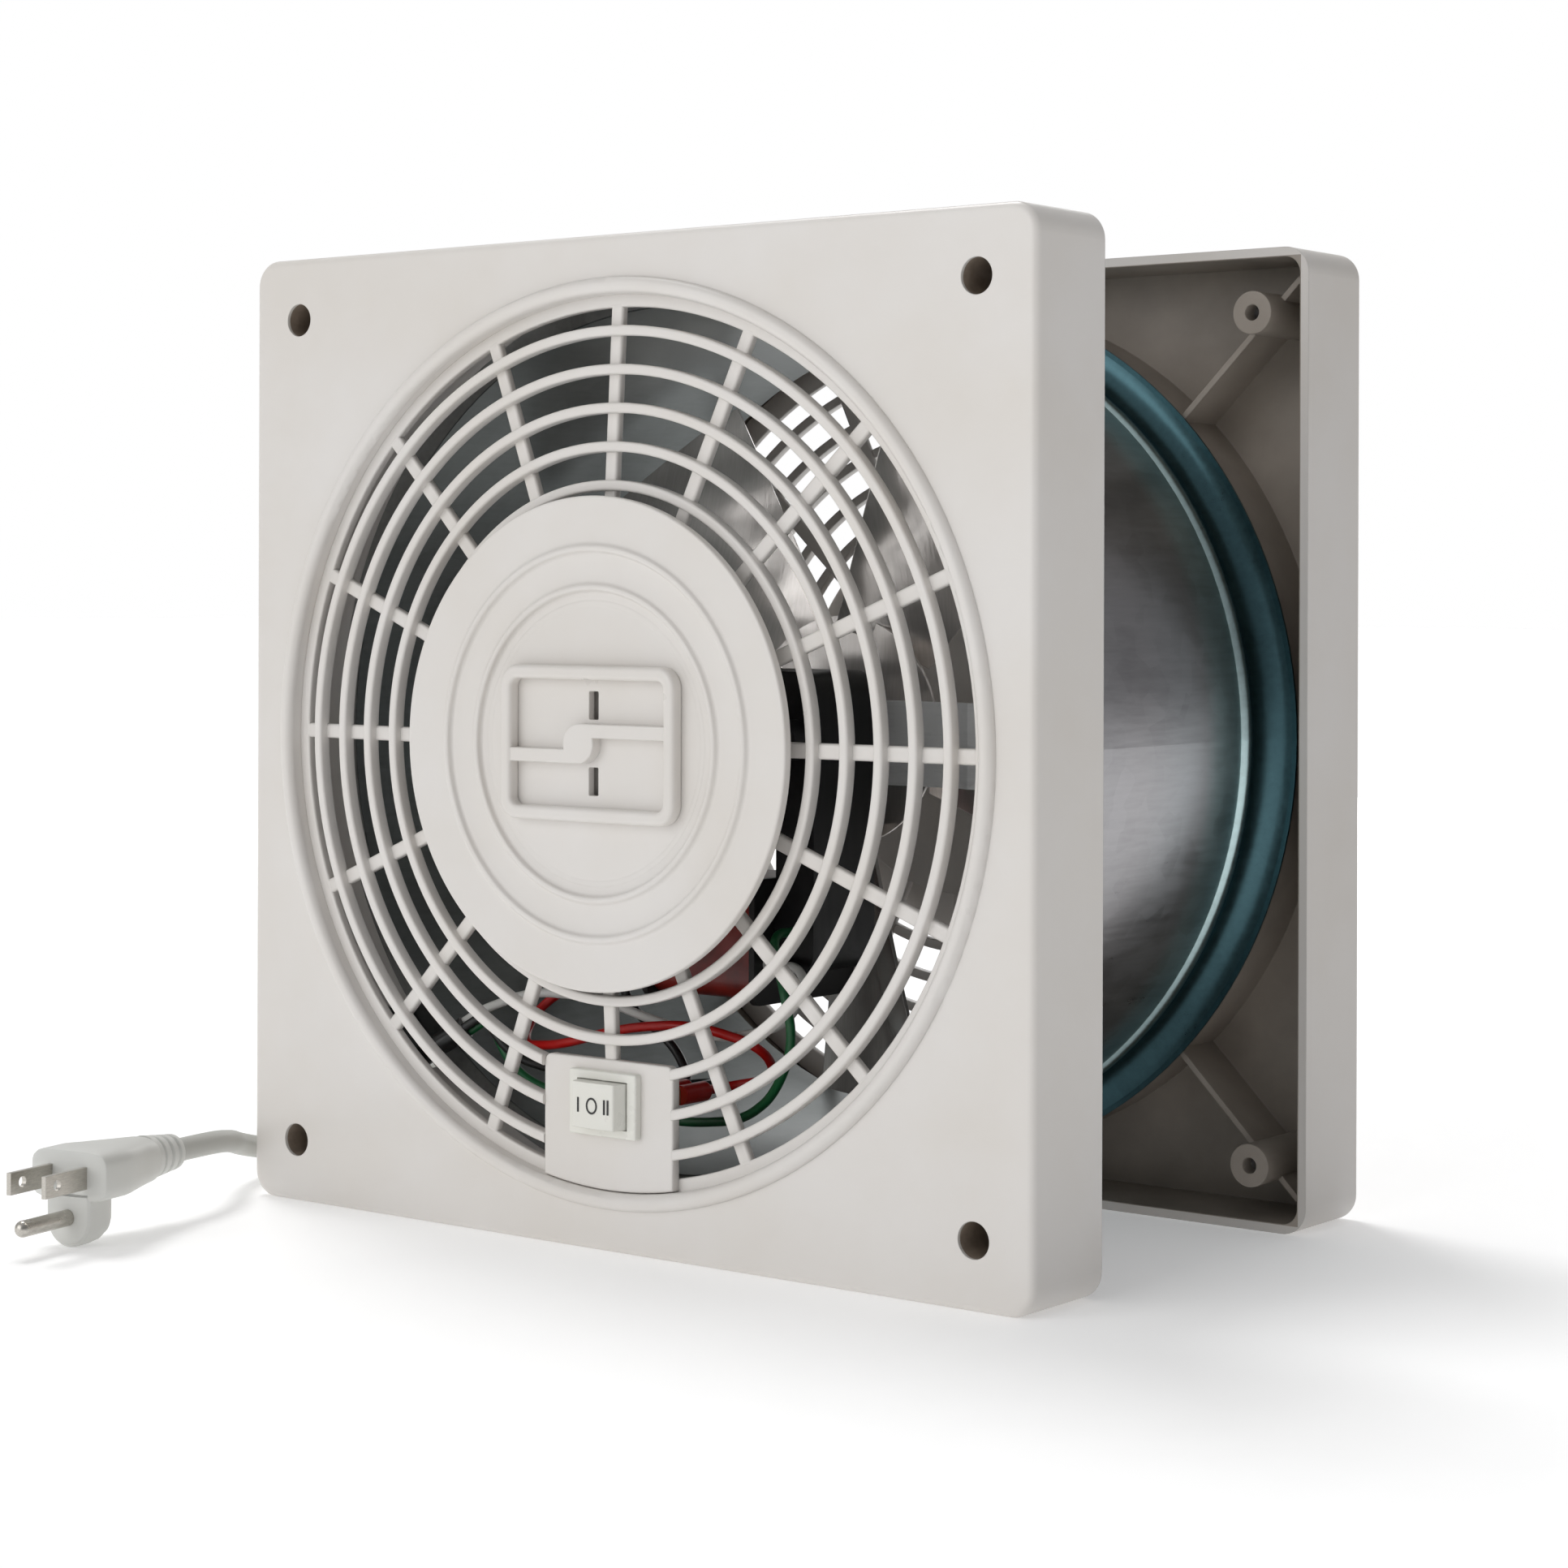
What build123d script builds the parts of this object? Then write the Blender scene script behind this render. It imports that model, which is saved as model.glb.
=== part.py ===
from build123d import *
import os
from math import cos, hypot, pi, radians, sin, tan

# Through-wall room-to-room fan: two square panels joined by a telescoping round sleeve.
# +X right, +Y from the room-side face to the far face, +Z up. Millimetres.
# The origin is under the middle of the fan, on the surface it stands on.

# ---- driving dimensions ----
panel_side = 292.0
panel_depth = 33.0
panel_wall = 2.9
panel_corner = 8.0
panel_edge = 2.2
wall_gap = 112.0
hole_spacing = 254.0
opening_radius = 128.6
bead_width = 5.0
bead_height = 2.5
collar_inner = 133.4
collar_wall = 2.8
collar_reach = 25.0

ring_count = 5
ring_first = 72.3
ring_pitch = 11.1
ring_width = 3.0
ring_depth = 4.0
ring_front = -0.3
ring_dome = 0.52
spoke_count = 16
spoke_width = 4.4
spoke_depth = 2.6
hub_radius = 56.0

disc_radius = 70.7
sleeve_inner_radius = 126.5
sleeve_sheet = 0.8
sleeve_clearance = 0.4
sleeve_inner_end = 158.5
sleeve_outer_start = 40.0
flange_radius = 138.5

motor_width = 72.0
motor_bottom = 77.0
motor_top = 166.0
motor_front = 50.0
motor_stack = 30.0
strap_width = 25.4
strap_drop = 2.0
shaft_radius = 3.0
running_fit = 0.06

impeller_radius = 116.0
impeller_depth = 112.0
blade_count = 5
blade_sheet = 1.2

bezel_width = 25.0
bezel_height = 18.7
switch_z = 42.75
rocker_pivot = -1.0

cord_radius = 3.5
coil_turn_radius = 42.0
coil_x = -209.0
coil_y = 64.0
coil_width = 8 * cord_radius
coil_height = 14.0

plug_turn = 10.0
plug_width = 28.0
plug_height = 28.0
plug_length = 34.0
plug_relief = 14.0
plug_axis_z = 20.5

# ---- places worked out from the driving dimensions ----
axis_z = panel_side / 2
front_y = -(wall_gap / 2 + panel_depth)
half_holes = hole_spacing / 2
fan_axis = Axis((0, 0, axis_z), (0, 1, 0))
section_plane = Plane((0, front_y, axis_z))


def at_depth(depth):
    """A plane parallel to the room-side face, this far behind it, centred on the fan's axis."""
    return Plane(origin=(0, front_y + depth, axis_z), x_dir=(1, 0, 0), z_dir=(0, -1, 0))


def radial_plane(angle):
    """A plane through the fan's axis: local x is the radius, local y the depth."""
    turn = radians(angle)
    return Plane(
        origin=(0, front_y, axis_z),
        x_dir=(cos(turn), 0, sin(turn)),
        z_dir=(-sin(turn), 0, cos(turn)),
    )


def bend_radii(points):
    """One arc radius per corner: 0.45 of the shorter run over the tangent of half the turn."""
    radii = []
    for before, corner, after in zip(points, points[1:], points[2:]):
        run_in = Vector(*corner) - Vector(*before)
        run_out = Vector(*after) - Vector(*corner)
        half_turn = radians(run_in.get_angle(run_out)) / 2
        radii.append(0.45 * min(run_in.length, run_out.length) / tan(half_turn))
    return radii


def finish(builder, label):
    """Labels a finished piece and writes its STEP file."""
    builder.part.label = label
    export_step(builder.part, f"parts/{label}.step")


def tapered_bar(origin, direction, near, far, length):
    """A tapered round bar from origin along direction."""
    base = Plane(origin=origin, z_dir=direction)
    with BuildPart() as bar:
        with BuildSketch(base):
            Circle(near)
        with BuildSketch(base.offset(length)):
            Circle(far)
        loft()
    return bar.part


os.makedirs("parts", exist_ok=True)


# ---- moulded panels ----
def panel_shell():
    """The square panel: face, skirt, bead round the opening, collar, screw bosses and ribs."""
    boss_radius = 6.45
    recess_radius = 5.0
    screw_radius = 2.4
    boss_floor = 6.0
    rib_wall = 1.8
    rib_depth = 21.0
    inner_side = panel_side - 2 * panel_wall
    collar_outer = collar_inner + collar_wall
    boss_reach = half_holes * 2**0.5
    corner_reach = boss_reach + 16.0
    with BuildPart() as shell:
        with BuildSketch(at_depth(0)):
            RectangleRounded(panel_side, panel_side, panel_corner)
        extrude(amount=-panel_depth)
        fillet(shell.edges().group_by(Axis.Y)[0], panel_edge)
        with BuildSketch(at_depth(panel_wall)):
            RectangleRounded(inner_side, inner_side, panel_corner - panel_wall)
        extrude(amount=-(panel_depth - panel_wall), mode=Mode.SUBTRACT)
        with BuildSketch(at_depth(panel_wall / 2)):
            with GridLocations(hole_spacing, hole_spacing, 2, 2):
                Circle(boss_radius)
        extrude(amount=-(panel_depth - panel_wall / 2))
        with BuildSketch(section_plane):
            with Locations((collar_inner, panel_wall / 2)):
                Rectangle(collar_wall, collar_reach - panel_wall / 2, align=Align.MIN)
        revolve(axis=fan_axis)
        for quarter in range(4):
            with BuildSketch(radial_plane(45 + 90 * quarter)):
                with Locations((collar_outer - 1, panel_wall / 2)):
                    Rectangle(corner_reach - collar_outer, rib_depth, align=Align.MIN)
            extrude(amount=rib_wall / 2, both=True)
        with BuildSketch(at_depth(0)):
            Circle(opening_radius)
        extrude(amount=-panel_wall, mode=Mode.SUBTRACT)
        with BuildSketch(section_plane):
            with BuildLine():
                Polyline(
                    (opening_radius, 0),
                    (opening_radius, panel_wall / 2),
                    (opening_radius + bead_width, panel_wall / 2),
                    (opening_radius + bead_width, 0),
                )
                ThreePointArc(
                    (opening_radius + bead_width, 0),
                    (opening_radius + bead_width / 2, -bead_height),
                    (opening_radius, 0),
                )
            make_face()
        revolve(axis=fan_axis)
        with BuildSketch(at_depth(0)):
            with GridLocations(hole_spacing, hole_spacing, 2, 2):
                Circle(recess_radius)
        extrude(amount=-(panel_depth - boss_floor), mode=Mode.SUBTRACT)
        with BuildSketch(at_depth(0)):
            with GridLocations(hole_spacing, hole_spacing, 2, 2):
                Circle(screw_radius)
        extrude(amount=-panel_depth, mode=Mode.SUBTRACT)
    return shell.part


plain_panel = panel_shell()

gland_x = -panel_side / 2
gland_y = front_y + 20.0
gland_z = 25.0
gland_way = Vector(-1, 1, 0).normalized()
gland_throat = 4.6
lead_notch = 8.0

with BuildPart() as front_panel:
    add(plain_panel)
    with BuildSketch(Plane(origin=(gland_x + 6, gland_y - 6, gland_z), z_dir=gland_way)):
        Circle(gland_throat)
    extrude(amount=14, mode=Mode.SUBTRACT)
    with BuildSketch(radial_plane(225)):
        with Locations((collar_inner - 1, lead_notch)):
            Rectangle(collar_wall + 2, collar_reach, align=Align.MIN)
    extrude(amount=12.5, both=True, mode=Mode.SUBTRACT)
    with BuildSketch(radial_plane(225)):
        with Locations((collar_inner - 1, lead_notch)):
            Rectangle(26, collar_reach, align=Align.MIN)
    extrude(amount=1.5, both=True, mode=Mode.SUBTRACT)
finish(front_panel, "front_panel")

with BuildPart() as rear_panel:
    mirror(plain_panel, about=Plane.XZ)
finish(rear_panel, "rear_panel")


# ---- guards ----
flange_front = panel_wall
flange_sheet = 2.8
flange_outer = collar_inner - sleeve_clearance
guard_opening = 125.0
hub_plate = 4.4
hub_front = -1.6


def ring_depth_at(radius):
    """Front plane of the slightly domed guard at this radius."""
    last_ring = ring_first + (ring_count - 1) * ring_pitch
    return ring_front - ring_dome * (last_ring - radius) / ring_pitch


def guard():
    """Concentric rings on radial spokes, in a flat flange, round a solid hub plate."""
    spoke_near = hub_radius - 4
    spoke_far = guard_opening + 0.8
    near_front = hub_front + 0.5
    far_front = flange_front + 0.1
    with BuildPart() as grid:
        with BuildSketch(at_depth(flange_front)):
            Circle(flange_outer)
            Circle(guard_opening, mode=Mode.SUBTRACT)
        extrude(amount=-flange_sheet)
        with BuildSketch(at_depth(hub_front)):
            Circle(hub_radius)
        extrude(amount=-hub_plate)
        for spoke in range(spoke_count):
            with BuildSketch(radial_plane(360 / spoke_count * spoke)):
                with BuildLine():
                    Polyline(
                        (spoke_near, near_front),
                        (spoke_far, far_front),
                        (spoke_far, far_front + spoke_depth),
                        (spoke_near, near_front + spoke_depth),
                        close=True,
                    )
                make_face()
            extrude(amount=spoke_width / 2, both=True)
        for ring in range(ring_count):
            inner = ring_first + ring * ring_pitch
            with BuildSketch(at_depth(ring_depth_at(inner))):
                Circle(inner + ring_width)
                Circle(inner, mode=Mode.SUBTRACT)
            extrude(amount=-ring_depth)
    return grid.part


plain_guard = guard()
pad_half = 24.2
pad_top = 55.2
pad_wall = 3.3
pad_bottom = 8.0
switch_body_width = 21.4
switch_body_height = 15.4

with BuildPart() as front_grille:
    add(plain_guard)
    with BuildSketch(at_depth(-5)):
        with Locations((0, (pad_top + pad_bottom) / 2 - axis_z)):
            Rectangle(2 * pad_half, pad_top - pad_bottom)
    extrude(amount=-5, mode=Mode.SUBTRACT)
    with BuildSketch(at_depth(0)) as pad_outline:
        with Locations((0, (pad_top + pad_bottom) / 2 - axis_z)):
            Rectangle(2 * pad_half, pad_top - pad_bottom)
        fillet(pad_outline.vertices().group_by(Axis.Z)[-1], 2.5)
        Circle(opening_radius - 0.3, mode=Mode.INTERSECT)
    extrude(amount=-pad_wall)
    with BuildSketch(at_depth(-1)):
        with Locations((0, switch_z - axis_z)):
            Rectangle(switch_body_width + 0.4, switch_body_height + 0.4)
    extrude(amount=-12, mode=Mode.SUBTRACT)
finish(front_grille, "front_grille")

with BuildPart() as rear_grille:
    mirror(plain_guard, about=Plane.XZ)
finish(rear_grille, "rear_grille")


# ---- centre covers ----
def centre_disc():
    """Stepped round cover with a raised rectangular frame, a cross rib and two slots."""
    face_depths = (-9.0, -7.1, -5.2)
    step_radii = (55.5, 44.6)
    rim_back = -5.6
    skin = 2.4
    frame_width = 65.3
    frame_height = 44.5
    frame_wall = 4.0
    frame_corner = 6.0
    frame_front = -10.7
    post_radius = 3.0
    rib_height = 4.5
    with BuildPart() as disc:
        with BuildSketch(section_plane) as profile:
            with BuildLine():
                Polyline(
                    (0, face_depths[2]),
                    (step_radii[1], face_depths[2]),
                    (step_radii[1], face_depths[1]),
                    (step_radii[0], face_depths[1]),
                    (step_radii[0], face_depths[0]),
                    (disc_radius, face_depths[0]),
                    (disc_radius, rim_back),
                    (step_radii[0] + skin, rim_back),
                    (step_radii[0] + skin, face_depths[1] + skin),
                    (step_radii[1] + skin, face_depths[1] + skin),
                    (step_radii[1] + skin, face_depths[2] + skin),
                    (0, face_depths[2] + skin),
                    close=True,
                )
            make_face()
        revolve(axis=fan_axis)
        rim_edges = disc.edges().filter_by(GeomType.CIRCLE).group_by(Axis.Y)[0]
        fillet(rim_edges, 0.9)
        with BuildSketch(at_depth(frame_front)):
            RectangleRounded(frame_width, frame_height, frame_corner)
            RectangleRounded(
                frame_width - 2 * frame_wall,
                frame_height - 2 * frame_wall,
                frame_corner - frame_wall,
                mode=Mode.SUBTRACT,
            )
        extrude(amount=frame_front - face_depths[2] - 0.5)
        fillet(disc.edges().group_by(Axis.Y)[0], 1.2)
        with BuildSketch(at_depth(-8.0)):
            Rectangle(frame_width - frame_wall, rib_height)
            Circle(3.6)
        extrude(amount=-3.0)
        with BuildSketch(at_depth(-8.8)):
            Circle(3.6)
        extrude(amount=-3.0)
        with BuildSketch(at_depth(-12)):
            with Locations((0, 10.85), (0, -10.85)):
                Rectangle(3.6, 8.1)
        extrude(amount=-12, mode=Mode.SUBTRACT)
        post_back = hub_front
        with BuildSketch(at_depth(face_depths[2] + skin)):
            with PolarLocations(36, 4, start_angle=45):
                Circle(post_radius)
        extrude(amount=face_depths[2] + skin - post_back)
    return disc.part


plain_disc = centre_disc()
with BuildPart() as front_disc:
    add(plain_disc)
finish(front_disc, "front_disc")

with BuildPart() as rear_disc:
    mirror(plain_disc, about=Plane.XZ)
finish(rear_disc, "rear_disc")

# ---- telescoping sleeve ----
inner_outside = sleeve_inner_radius + sleeve_sheet
outer_inside = inner_outside + sleeve_clearance
outer_outside = outer_inside + sleeve_sheet
rear_flange_depth = 2 * panel_depth + wall_gap - collar_reach

with BuildPart() as inner_sleeve:
    with BuildSketch(section_plane):
        with BuildLine():
            Polyline(
                (sleeve_inner_radius, collar_reach),
                (flange_radius, collar_reach),
                (flange_radius, collar_reach + sleeve_sheet),
                (inner_outside, collar_reach + sleeve_sheet),
                (inner_outside, sleeve_inner_end),
                (sleeve_inner_radius, sleeve_inner_end),
                close=True,
            )
        make_face()
    revolve(axis=fan_axis)
finish(inner_sleeve, "inner_sleeve")

with BuildPart() as outer_sleeve:
    bead_depth = rear_flange_depth - 13.0
    flare_start = rear_flange_depth - 9.5
    flare_middle = (131.2, rear_flange_depth - 3.4)
    lip_front = rear_flange_depth - sleeve_sheet
    with BuildSketch(section_plane):
        with BuildLine():
            Line((outer_inside, sleeve_outer_start), (outer_outside, sleeve_outer_start))
            Line((outer_outside, sleeve_outer_start), (outer_outside, bead_depth - 3))
            ThreePointArc(
                (outer_outside, bead_depth - 3),
                (outer_outside + 1.5, bead_depth),
                (outer_outside, bead_depth + 3),
            )
            Line((outer_outside, bead_depth + 3), (outer_outside, flare_start))
            ThreePointArc((outer_outside, flare_start), flare_middle, (flange_radius - 1.5, lip_front))
            Line((flange_radius - 1.5, lip_front), (flange_radius, lip_front))
            Line((flange_radius, lip_front), (flange_radius, rear_flange_depth))
            Line((flange_radius, rear_flange_depth), (outer_outside + 3, rear_flange_depth))
            Line((outer_outside + 3, rear_flange_depth), (outer_inside, flare_start + 1))
            Line((outer_inside, flare_start + 1), (outer_inside, sleeve_outer_start))
        make_face()
    revolve(axis=fan_axis)
finish(outer_sleeve, "outer_sleeve")


with BuildPart() as front_flange_screws:
    screw_circle = collar_inner + collar_wall / 2
    with BuildSketch(Plane(origin=(0, front_y + collar_reach + sleeve_sheet, axis_z), z_dir=(0, 1, 0))):
        with PolarLocations(screw_circle, 6, start_angle=15):
            Circle(2.0)
    extrude(amount=1.4)
    fillet(front_flange_screws.edges().filter_by(GeomType.CIRCLE).group_by(Axis.Y)[-1], 0.5)
finish(front_flange_screws, "front_flange_screws")

# ---- motor ----
stack_back = motor_front + motor_stack
coil_window_top = 118.0
coil_window_bottom = 96.0
rotor_bore = 15.4
with BuildPart() as motor_core:
    with BuildSketch(at_depth(motor_front)):
        with Locations((0, (motor_top + motor_bottom) / 2 - axis_z)):
            RectangleRounded(motor_width, motor_top - motor_bottom, 7)
        with Locations((0, (coil_window_top + coil_window_bottom) / 2 - axis_z)):
            Rectangle(44, coil_window_top - coil_window_bottom, mode=Mode.SUBTRACT)
        Circle(rotor_bore, mode=Mode.SUBTRACT)
        with Locations((-29, 0), (29, 0)):
            Circle(2.2, mode=Mode.SUBTRACT)
    extrude(amount=-motor_stack)
finish(motor_core, "motor_core")

with BuildPart() as motor_coil:
    coil_middle = (motor_bottom + coil_window_bottom) / 2
    with BuildSketch(Plane.YZ.offset(-19)):
        with Locations((front_y + motor_front + motor_stack / 2, coil_middle)):
            RectangleRounded(motor_stack + 16, coil_window_bottom - motor_bottom + 16, 6)
            Rectangle(
                motor_stack + 0.6,
                coil_window_bottom - motor_bottom + 0.6,
                mode=Mode.SUBTRACT,
            )
    extrude(amount=38)
finish(motor_coil, "motor_coil")

with BuildPart() as coil_bobbin:
    with BuildSketch(Plane.YZ.offset(-21.4)):
        with Locations((front_y + motor_front + motor_stack / 2, coil_middle)):
            RectangleRounded(motor_stack + 19, coil_window_bottom - motor_bottom + 18, 3)
            Rectangle(
                motor_stack + 0.6,
                coil_window_bottom - motor_bottom + 0.6,
                mode=Mode.SUBTRACT,
            )
    extrude(amount=2.0)
    mirror(coil_bobbin.part, about=Plane.YZ)
finish(coil_bobbin, "coil_end_plates")


def bearing_bridge(face_depth, way):
    """A cast bridge over the rotor that holds one shaft bush."""
    base = Plane(origin=(0, front_y + face_depth, axis_z), x_dir=(1, 0, 0), z_dir=(0, way, 0))
    with BuildPart() as bridge:
        with BuildSketch(base):
            with Locations((-29, 0), (29, 0)):
                Circle(6)
        extrude(amount=8)
        with BuildSketch(base.offset(5)):
            SlotCenterToCenter(58, 12)
            Circle(13)
        extrude(amount=3)
        with BuildSketch(base.offset(5)):
            Circle(9)
        extrude(amount=8)
        with BuildSketch(base):
            Circle(5.5)
        extrude(amount=14, mode=Mode.SUBTRACT)
        with BuildSketch(base):
            with Locations((-29, 0), (29, 0)):
                Circle(2.2)
        extrude(amount=14, mode=Mode.SUBTRACT)
    return bridge.part


with BuildPart() as front_bearing_bridge:
    add(bearing_bridge(motor_front, -1))
finish(front_bearing_bridge, "front_bearing_bridge")

with BuildPart() as rear_bearing_bridge:
    add(bearing_bridge(stack_back, 1))
finish(rear_bearing_bridge, "rear_bearing_bridge")


def bush(centre_depth):
    """A sintered bronze bush, a sliding fit on the shaft."""
    with BuildPart() as sleeve:
        with BuildSketch(at_depth(centre_depth - 4)):
            Circle(5.5)
            Circle(shaft_radius + running_fit, mode=Mode.SUBTRACT)
        extrude(amount=-8)
    return sleeve.part


with BuildPart() as front_bush:
    add(bush(motor_front - 9))
finish(front_bush, "front_bush")

with BuildPart() as rear_bush:
    add(bush(stack_back + 9))
finish(rear_bush, "rear_bush")

with BuildPart() as motor_screws:
    with BuildSketch(at_depth(motor_front - 11)):
        with Locations((-29, 0), (29, 0)):
            RegularPolygon(3.6, 6)
    extrude(amount=-3)
    with BuildSketch(at_depth(motor_front - 8)):
        with Locations((-29, 0), (29, 0)):
            Circle(2.0)
    extrude(amount=-(motor_stack + 21.5))
finish(motor_screws, "motor_screws")

strap_depth = stack_back + 8
strap_sheet = 1.6
with BuildPart() as motor_strap:
    strap_reach = sleeve_inner_radius - 0.8
    strap_edge = strap_width / 2
    side_reach = (strap_reach**2 - (strap_edge + strap_drop) ** 2) ** 0.5 - 0.2
    tab_length = 16.0
    with BuildSketch(Plane.XY.offset(axis_z - strap_drop - strap_edge)):
        with BuildLine():
            strap_line = Polyline(
                (side_reach, front_y + strap_depth + tab_length),
                (side_reach, front_y + strap_depth),
                (86, front_y + strap_depth),
                (80, front_y + strap_depth - 3),
                (66, front_y + strap_depth - 3),
                (60, front_y + strap_depth),
                (-60, front_y + strap_depth),
                (-66, front_y + strap_depth - 3),
                (-80, front_y + strap_depth - 3),
                (-86, front_y + strap_depth),
                (-side_reach, front_y + strap_depth),
                (-side_reach, front_y + strap_depth + tab_length),
            )
            offset(amount=strap_sheet, side=Side.RIGHT)
        make_face()
    extrude(amount=strap_width)
    with BuildSketch(at_depth(strap_depth - 6)):
        Circle(9.3)
        with Locations((-29, 0), (29, 0)):
            Circle(2.3)
    extrude(amount=-12, mode=Mode.SUBTRACT)
finish(motor_strap, "motor_strap")

# ---- impeller ----
with BuildPart() as rotor:
    with BuildSketch(at_depth(motor_front + 1)):
        Circle(rotor_bore - 0.4)
        Circle(shaft_radius, mode=Mode.SUBTRACT)
    extrude(amount=-(motor_stack - 2))
finish(rotor, "rotor")

with BuildPart() as shaft:
    with BuildSketch(at_depth(motor_front - 15)):
        Circle(shaft_radius)
    extrude(amount=-(motor_stack + 15 + 46))
    chamfer(shaft.edges().filter_by(GeomType.CIRCLE), 0.5)
finish(shaft, "motor_shaft")

# radius, chord, pitch in degrees and camber of a blade's root, middle and tip sections
blade_stations = ((30.0, 32.0, 34.0, 2.5), (74.0, 49.0, 29.0, 4.5), (120.0, 68.0, 22.0, 6.0))
blade_phase = 60.0
with BuildPart() as impeller:
    with BuildSketch(at_depth(impeller_depth)):
        Circle(36)
        Circle(9.0, mode=Mode.SUBTRACT)
    extrude(amount=-blade_sheet)
    for blade in range(blade_count):
        spin = radians(blade_phase - 360 / blade_count * blade)
        way = Vector(cos(spin), 0, sin(spin))
        across = Vector(0, 1, 0).cross(way)
        middle = Vector(0, front_y + impeller_depth + blade_sheet / 2, axis_z)
        for radius, chord, pitch, camber in blade_stations:
            half = chord / 2
            lean = across.rotate(Axis((0, 0, 0), way), pitch)
            with BuildSketch(Plane(origin=middle + way * radius, x_dir=lean, z_dir=way)):
                with BuildLine():
                    ThreePointArc((-half, 0), (0, camber), (half, 0))
                    Line((half, 0), (half, blade_sheet))
                    ThreePointArc((half, blade_sheet), (0, camber + blade_sheet), (-half, blade_sheet))
                    Line((-half, blade_sheet), (-half, 0))
                make_face()
        loft()
    with BuildSketch(at_depth(impeller_depth - 60)):
        Circle(impeller_radius)
    extrude(amount=-120, mode=Mode.INTERSECT)
finish(impeller, "impeller")

with BuildPart() as impeller_hub:
    with BuildSketch(at_depth(impeller_depth - 8)):
        Circle(9.0)
        Circle(shaft_radius, mode=Mode.SUBTRACT)
    extrude(amount=-20)
finish(impeller_hub, "impeller_hub")

# ---- switch ----
def switch_level(depth):
    """The plane of the switch at this depth, centred on the switch."""
    return Plane(origin=(0, front_y + depth, switch_z), x_dir=(1, 0, 0), z_dir=(0, -1, 0))


rocker_half = 8.8
rocker_height = 13.1
rocker_sweep = 9.0
pivot_point = (0, front_y + rocker_pivot)
with BuildPart() as switch_body:
    with BuildSketch(switch_level(-2.5)):
        RectangleRounded(bezel_width, bezel_height, 0.8)
    extrude(amount=-2.5)
    fillet(switch_body.edges().group_by(Axis.Y)[0], 0.6)
    with BuildSketch(switch_level(0)):
        Rectangle(switch_body_width, switch_body_height)
    extrude(amount=-16)
    with BuildSketch(Plane.XY.offset(switch_z - rocker_height / 2 - 0.3)):
        with Locations(pivot_point):
            Circle(rocker_sweep + 0.4)
            Rectangle(2 * rocker_sweep + 0.8, 4, align=(Align.CENTER, Align.MAX))
    extrude(amount=rocker_height + 0.6, mode=Mode.SUBTRACT)
    with BuildSketch(Plane.XY.offset(switch_z - rocker_height / 2 - 1.8)):
        with Locations(pivot_point):
            Circle(1.0 + running_fit)
    extrude(amount=rocker_height + 3.6, mode=Mode.SUBTRACT)
finish(switch_body, "switch_body")

with BuildPart() as switch_rocker:
    with BuildSketch(Plane.XY.offset(switch_z - rocker_height / 2)):
        with BuildLine():
            Line((-7.65, front_y - 6.6), (-rocker_half, front_y - 2.5))
            Line((-rocker_half, front_y - 2.5), (-rocker_half, front_y + rocker_pivot))
            ThreePointArc(
                (-rocker_half, front_y + rocker_pivot),
                (0, front_y + rocker_pivot + rocker_half),
                (rocker_half, front_y + rocker_pivot),
            )
            Line((rocker_half, front_y + rocker_pivot), (rocker_half, front_y - 2.5))
            Line((rocker_half, front_y - 2.5), (7.65, front_y - 6.6))
            ThreePointArc((7.65, front_y - 6.6), (0, front_y - 7.0), (-7.65, front_y - 6.6))
        make_face()
    extrude(amount=rocker_height)
    fillet(switch_rocker.edges().filter_by(Axis.Z).group_by(Axis.Y)[0], 0.7)
    with BuildSketch(Plane.XY.offset(switch_z - rocker_height / 2 - 1.5)):
        with Locations(pivot_point):
            Circle(1.0)
    extrude(amount=rocker_height + 3.0)
finish(switch_rocker, "switch_rocker")

terminal_spots = ((-7, 0), (0, 0), (7, 0))
with BuildPart() as switch_terminals:
    with BuildSketch(switch_level(16)):
        with Locations(*terminal_spots):
            Rectangle(0.8, 4.8)
    extrude(amount=-8)
finish(switch_terminals, "switch_terminals")

with BuildPart() as crimp_sleeves:
    with BuildSketch(switch_level(24)):
        with Locations(*terminal_spots):
            Circle(2.9)
    extrude(amount=-12)
    fillet(crimp_sleeves.edges().filter_by(GeomType.CIRCLE).group_by(Axis.Y)[-1], 0.8)
finish(crimp_sleeves, "crimp_sleeves")


# ---- wiring held inside the front panel ----
def inside(x, depth, z):
    """A point given by its depth behind the room-side face."""
    return (x, front_y + depth, z)


def wire(points, radius):
    """A round lead along straight runs joined by tangent arcs."""
    with BuildPart() as lead:
        with BuildLine():
            route = FilletPolyline(*points, radius=bend_radii(points))
        with BuildSketch(Plane(origin=route @ 0, z_dir=route % 0)):
            Circle(radius)
        sweep(path=route)
    drift = lead.part.volume / (route.length * pi * radius**2) - 1
    print("lead", round(route.length), "mm, volume drift", round(drift, 4))
    return lead.part


wire_radius = 1.4
terminal_depth = 36.0
end_plate = 21.4
gland_seat = Vector(gland_x, gland_y, gland_z)
lead_start = gland_seat - gland_way * 4.5
jacket_points = (
    tuple(lead_start),
    tuple(lead_start - gland_way * 9),
    inside(-127, 11, 38),
    inside(-110, 15, 43),
    inside(-98, 15, 40),
    inside(-88, 16, 47),
    inside(-76, 22, 56),
)
jacket_end = Vector(*jacket_points[-1])
jacket_way = (jacket_end - Vector(*jacket_points[-2])).normalized()
jacket_side = jacket_way.cross(Vector(0, 0, 1)).normalized() * 1.9


def core_wire(angle):
    """The first two points of a core that leaves the end of the jacket."""
    start = jacket_end + jacket_side.rotate(Axis((0, 0, 0), jacket_way), angle)
    return [tuple(start), tuple(start + jacket_way * 7)]


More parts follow.
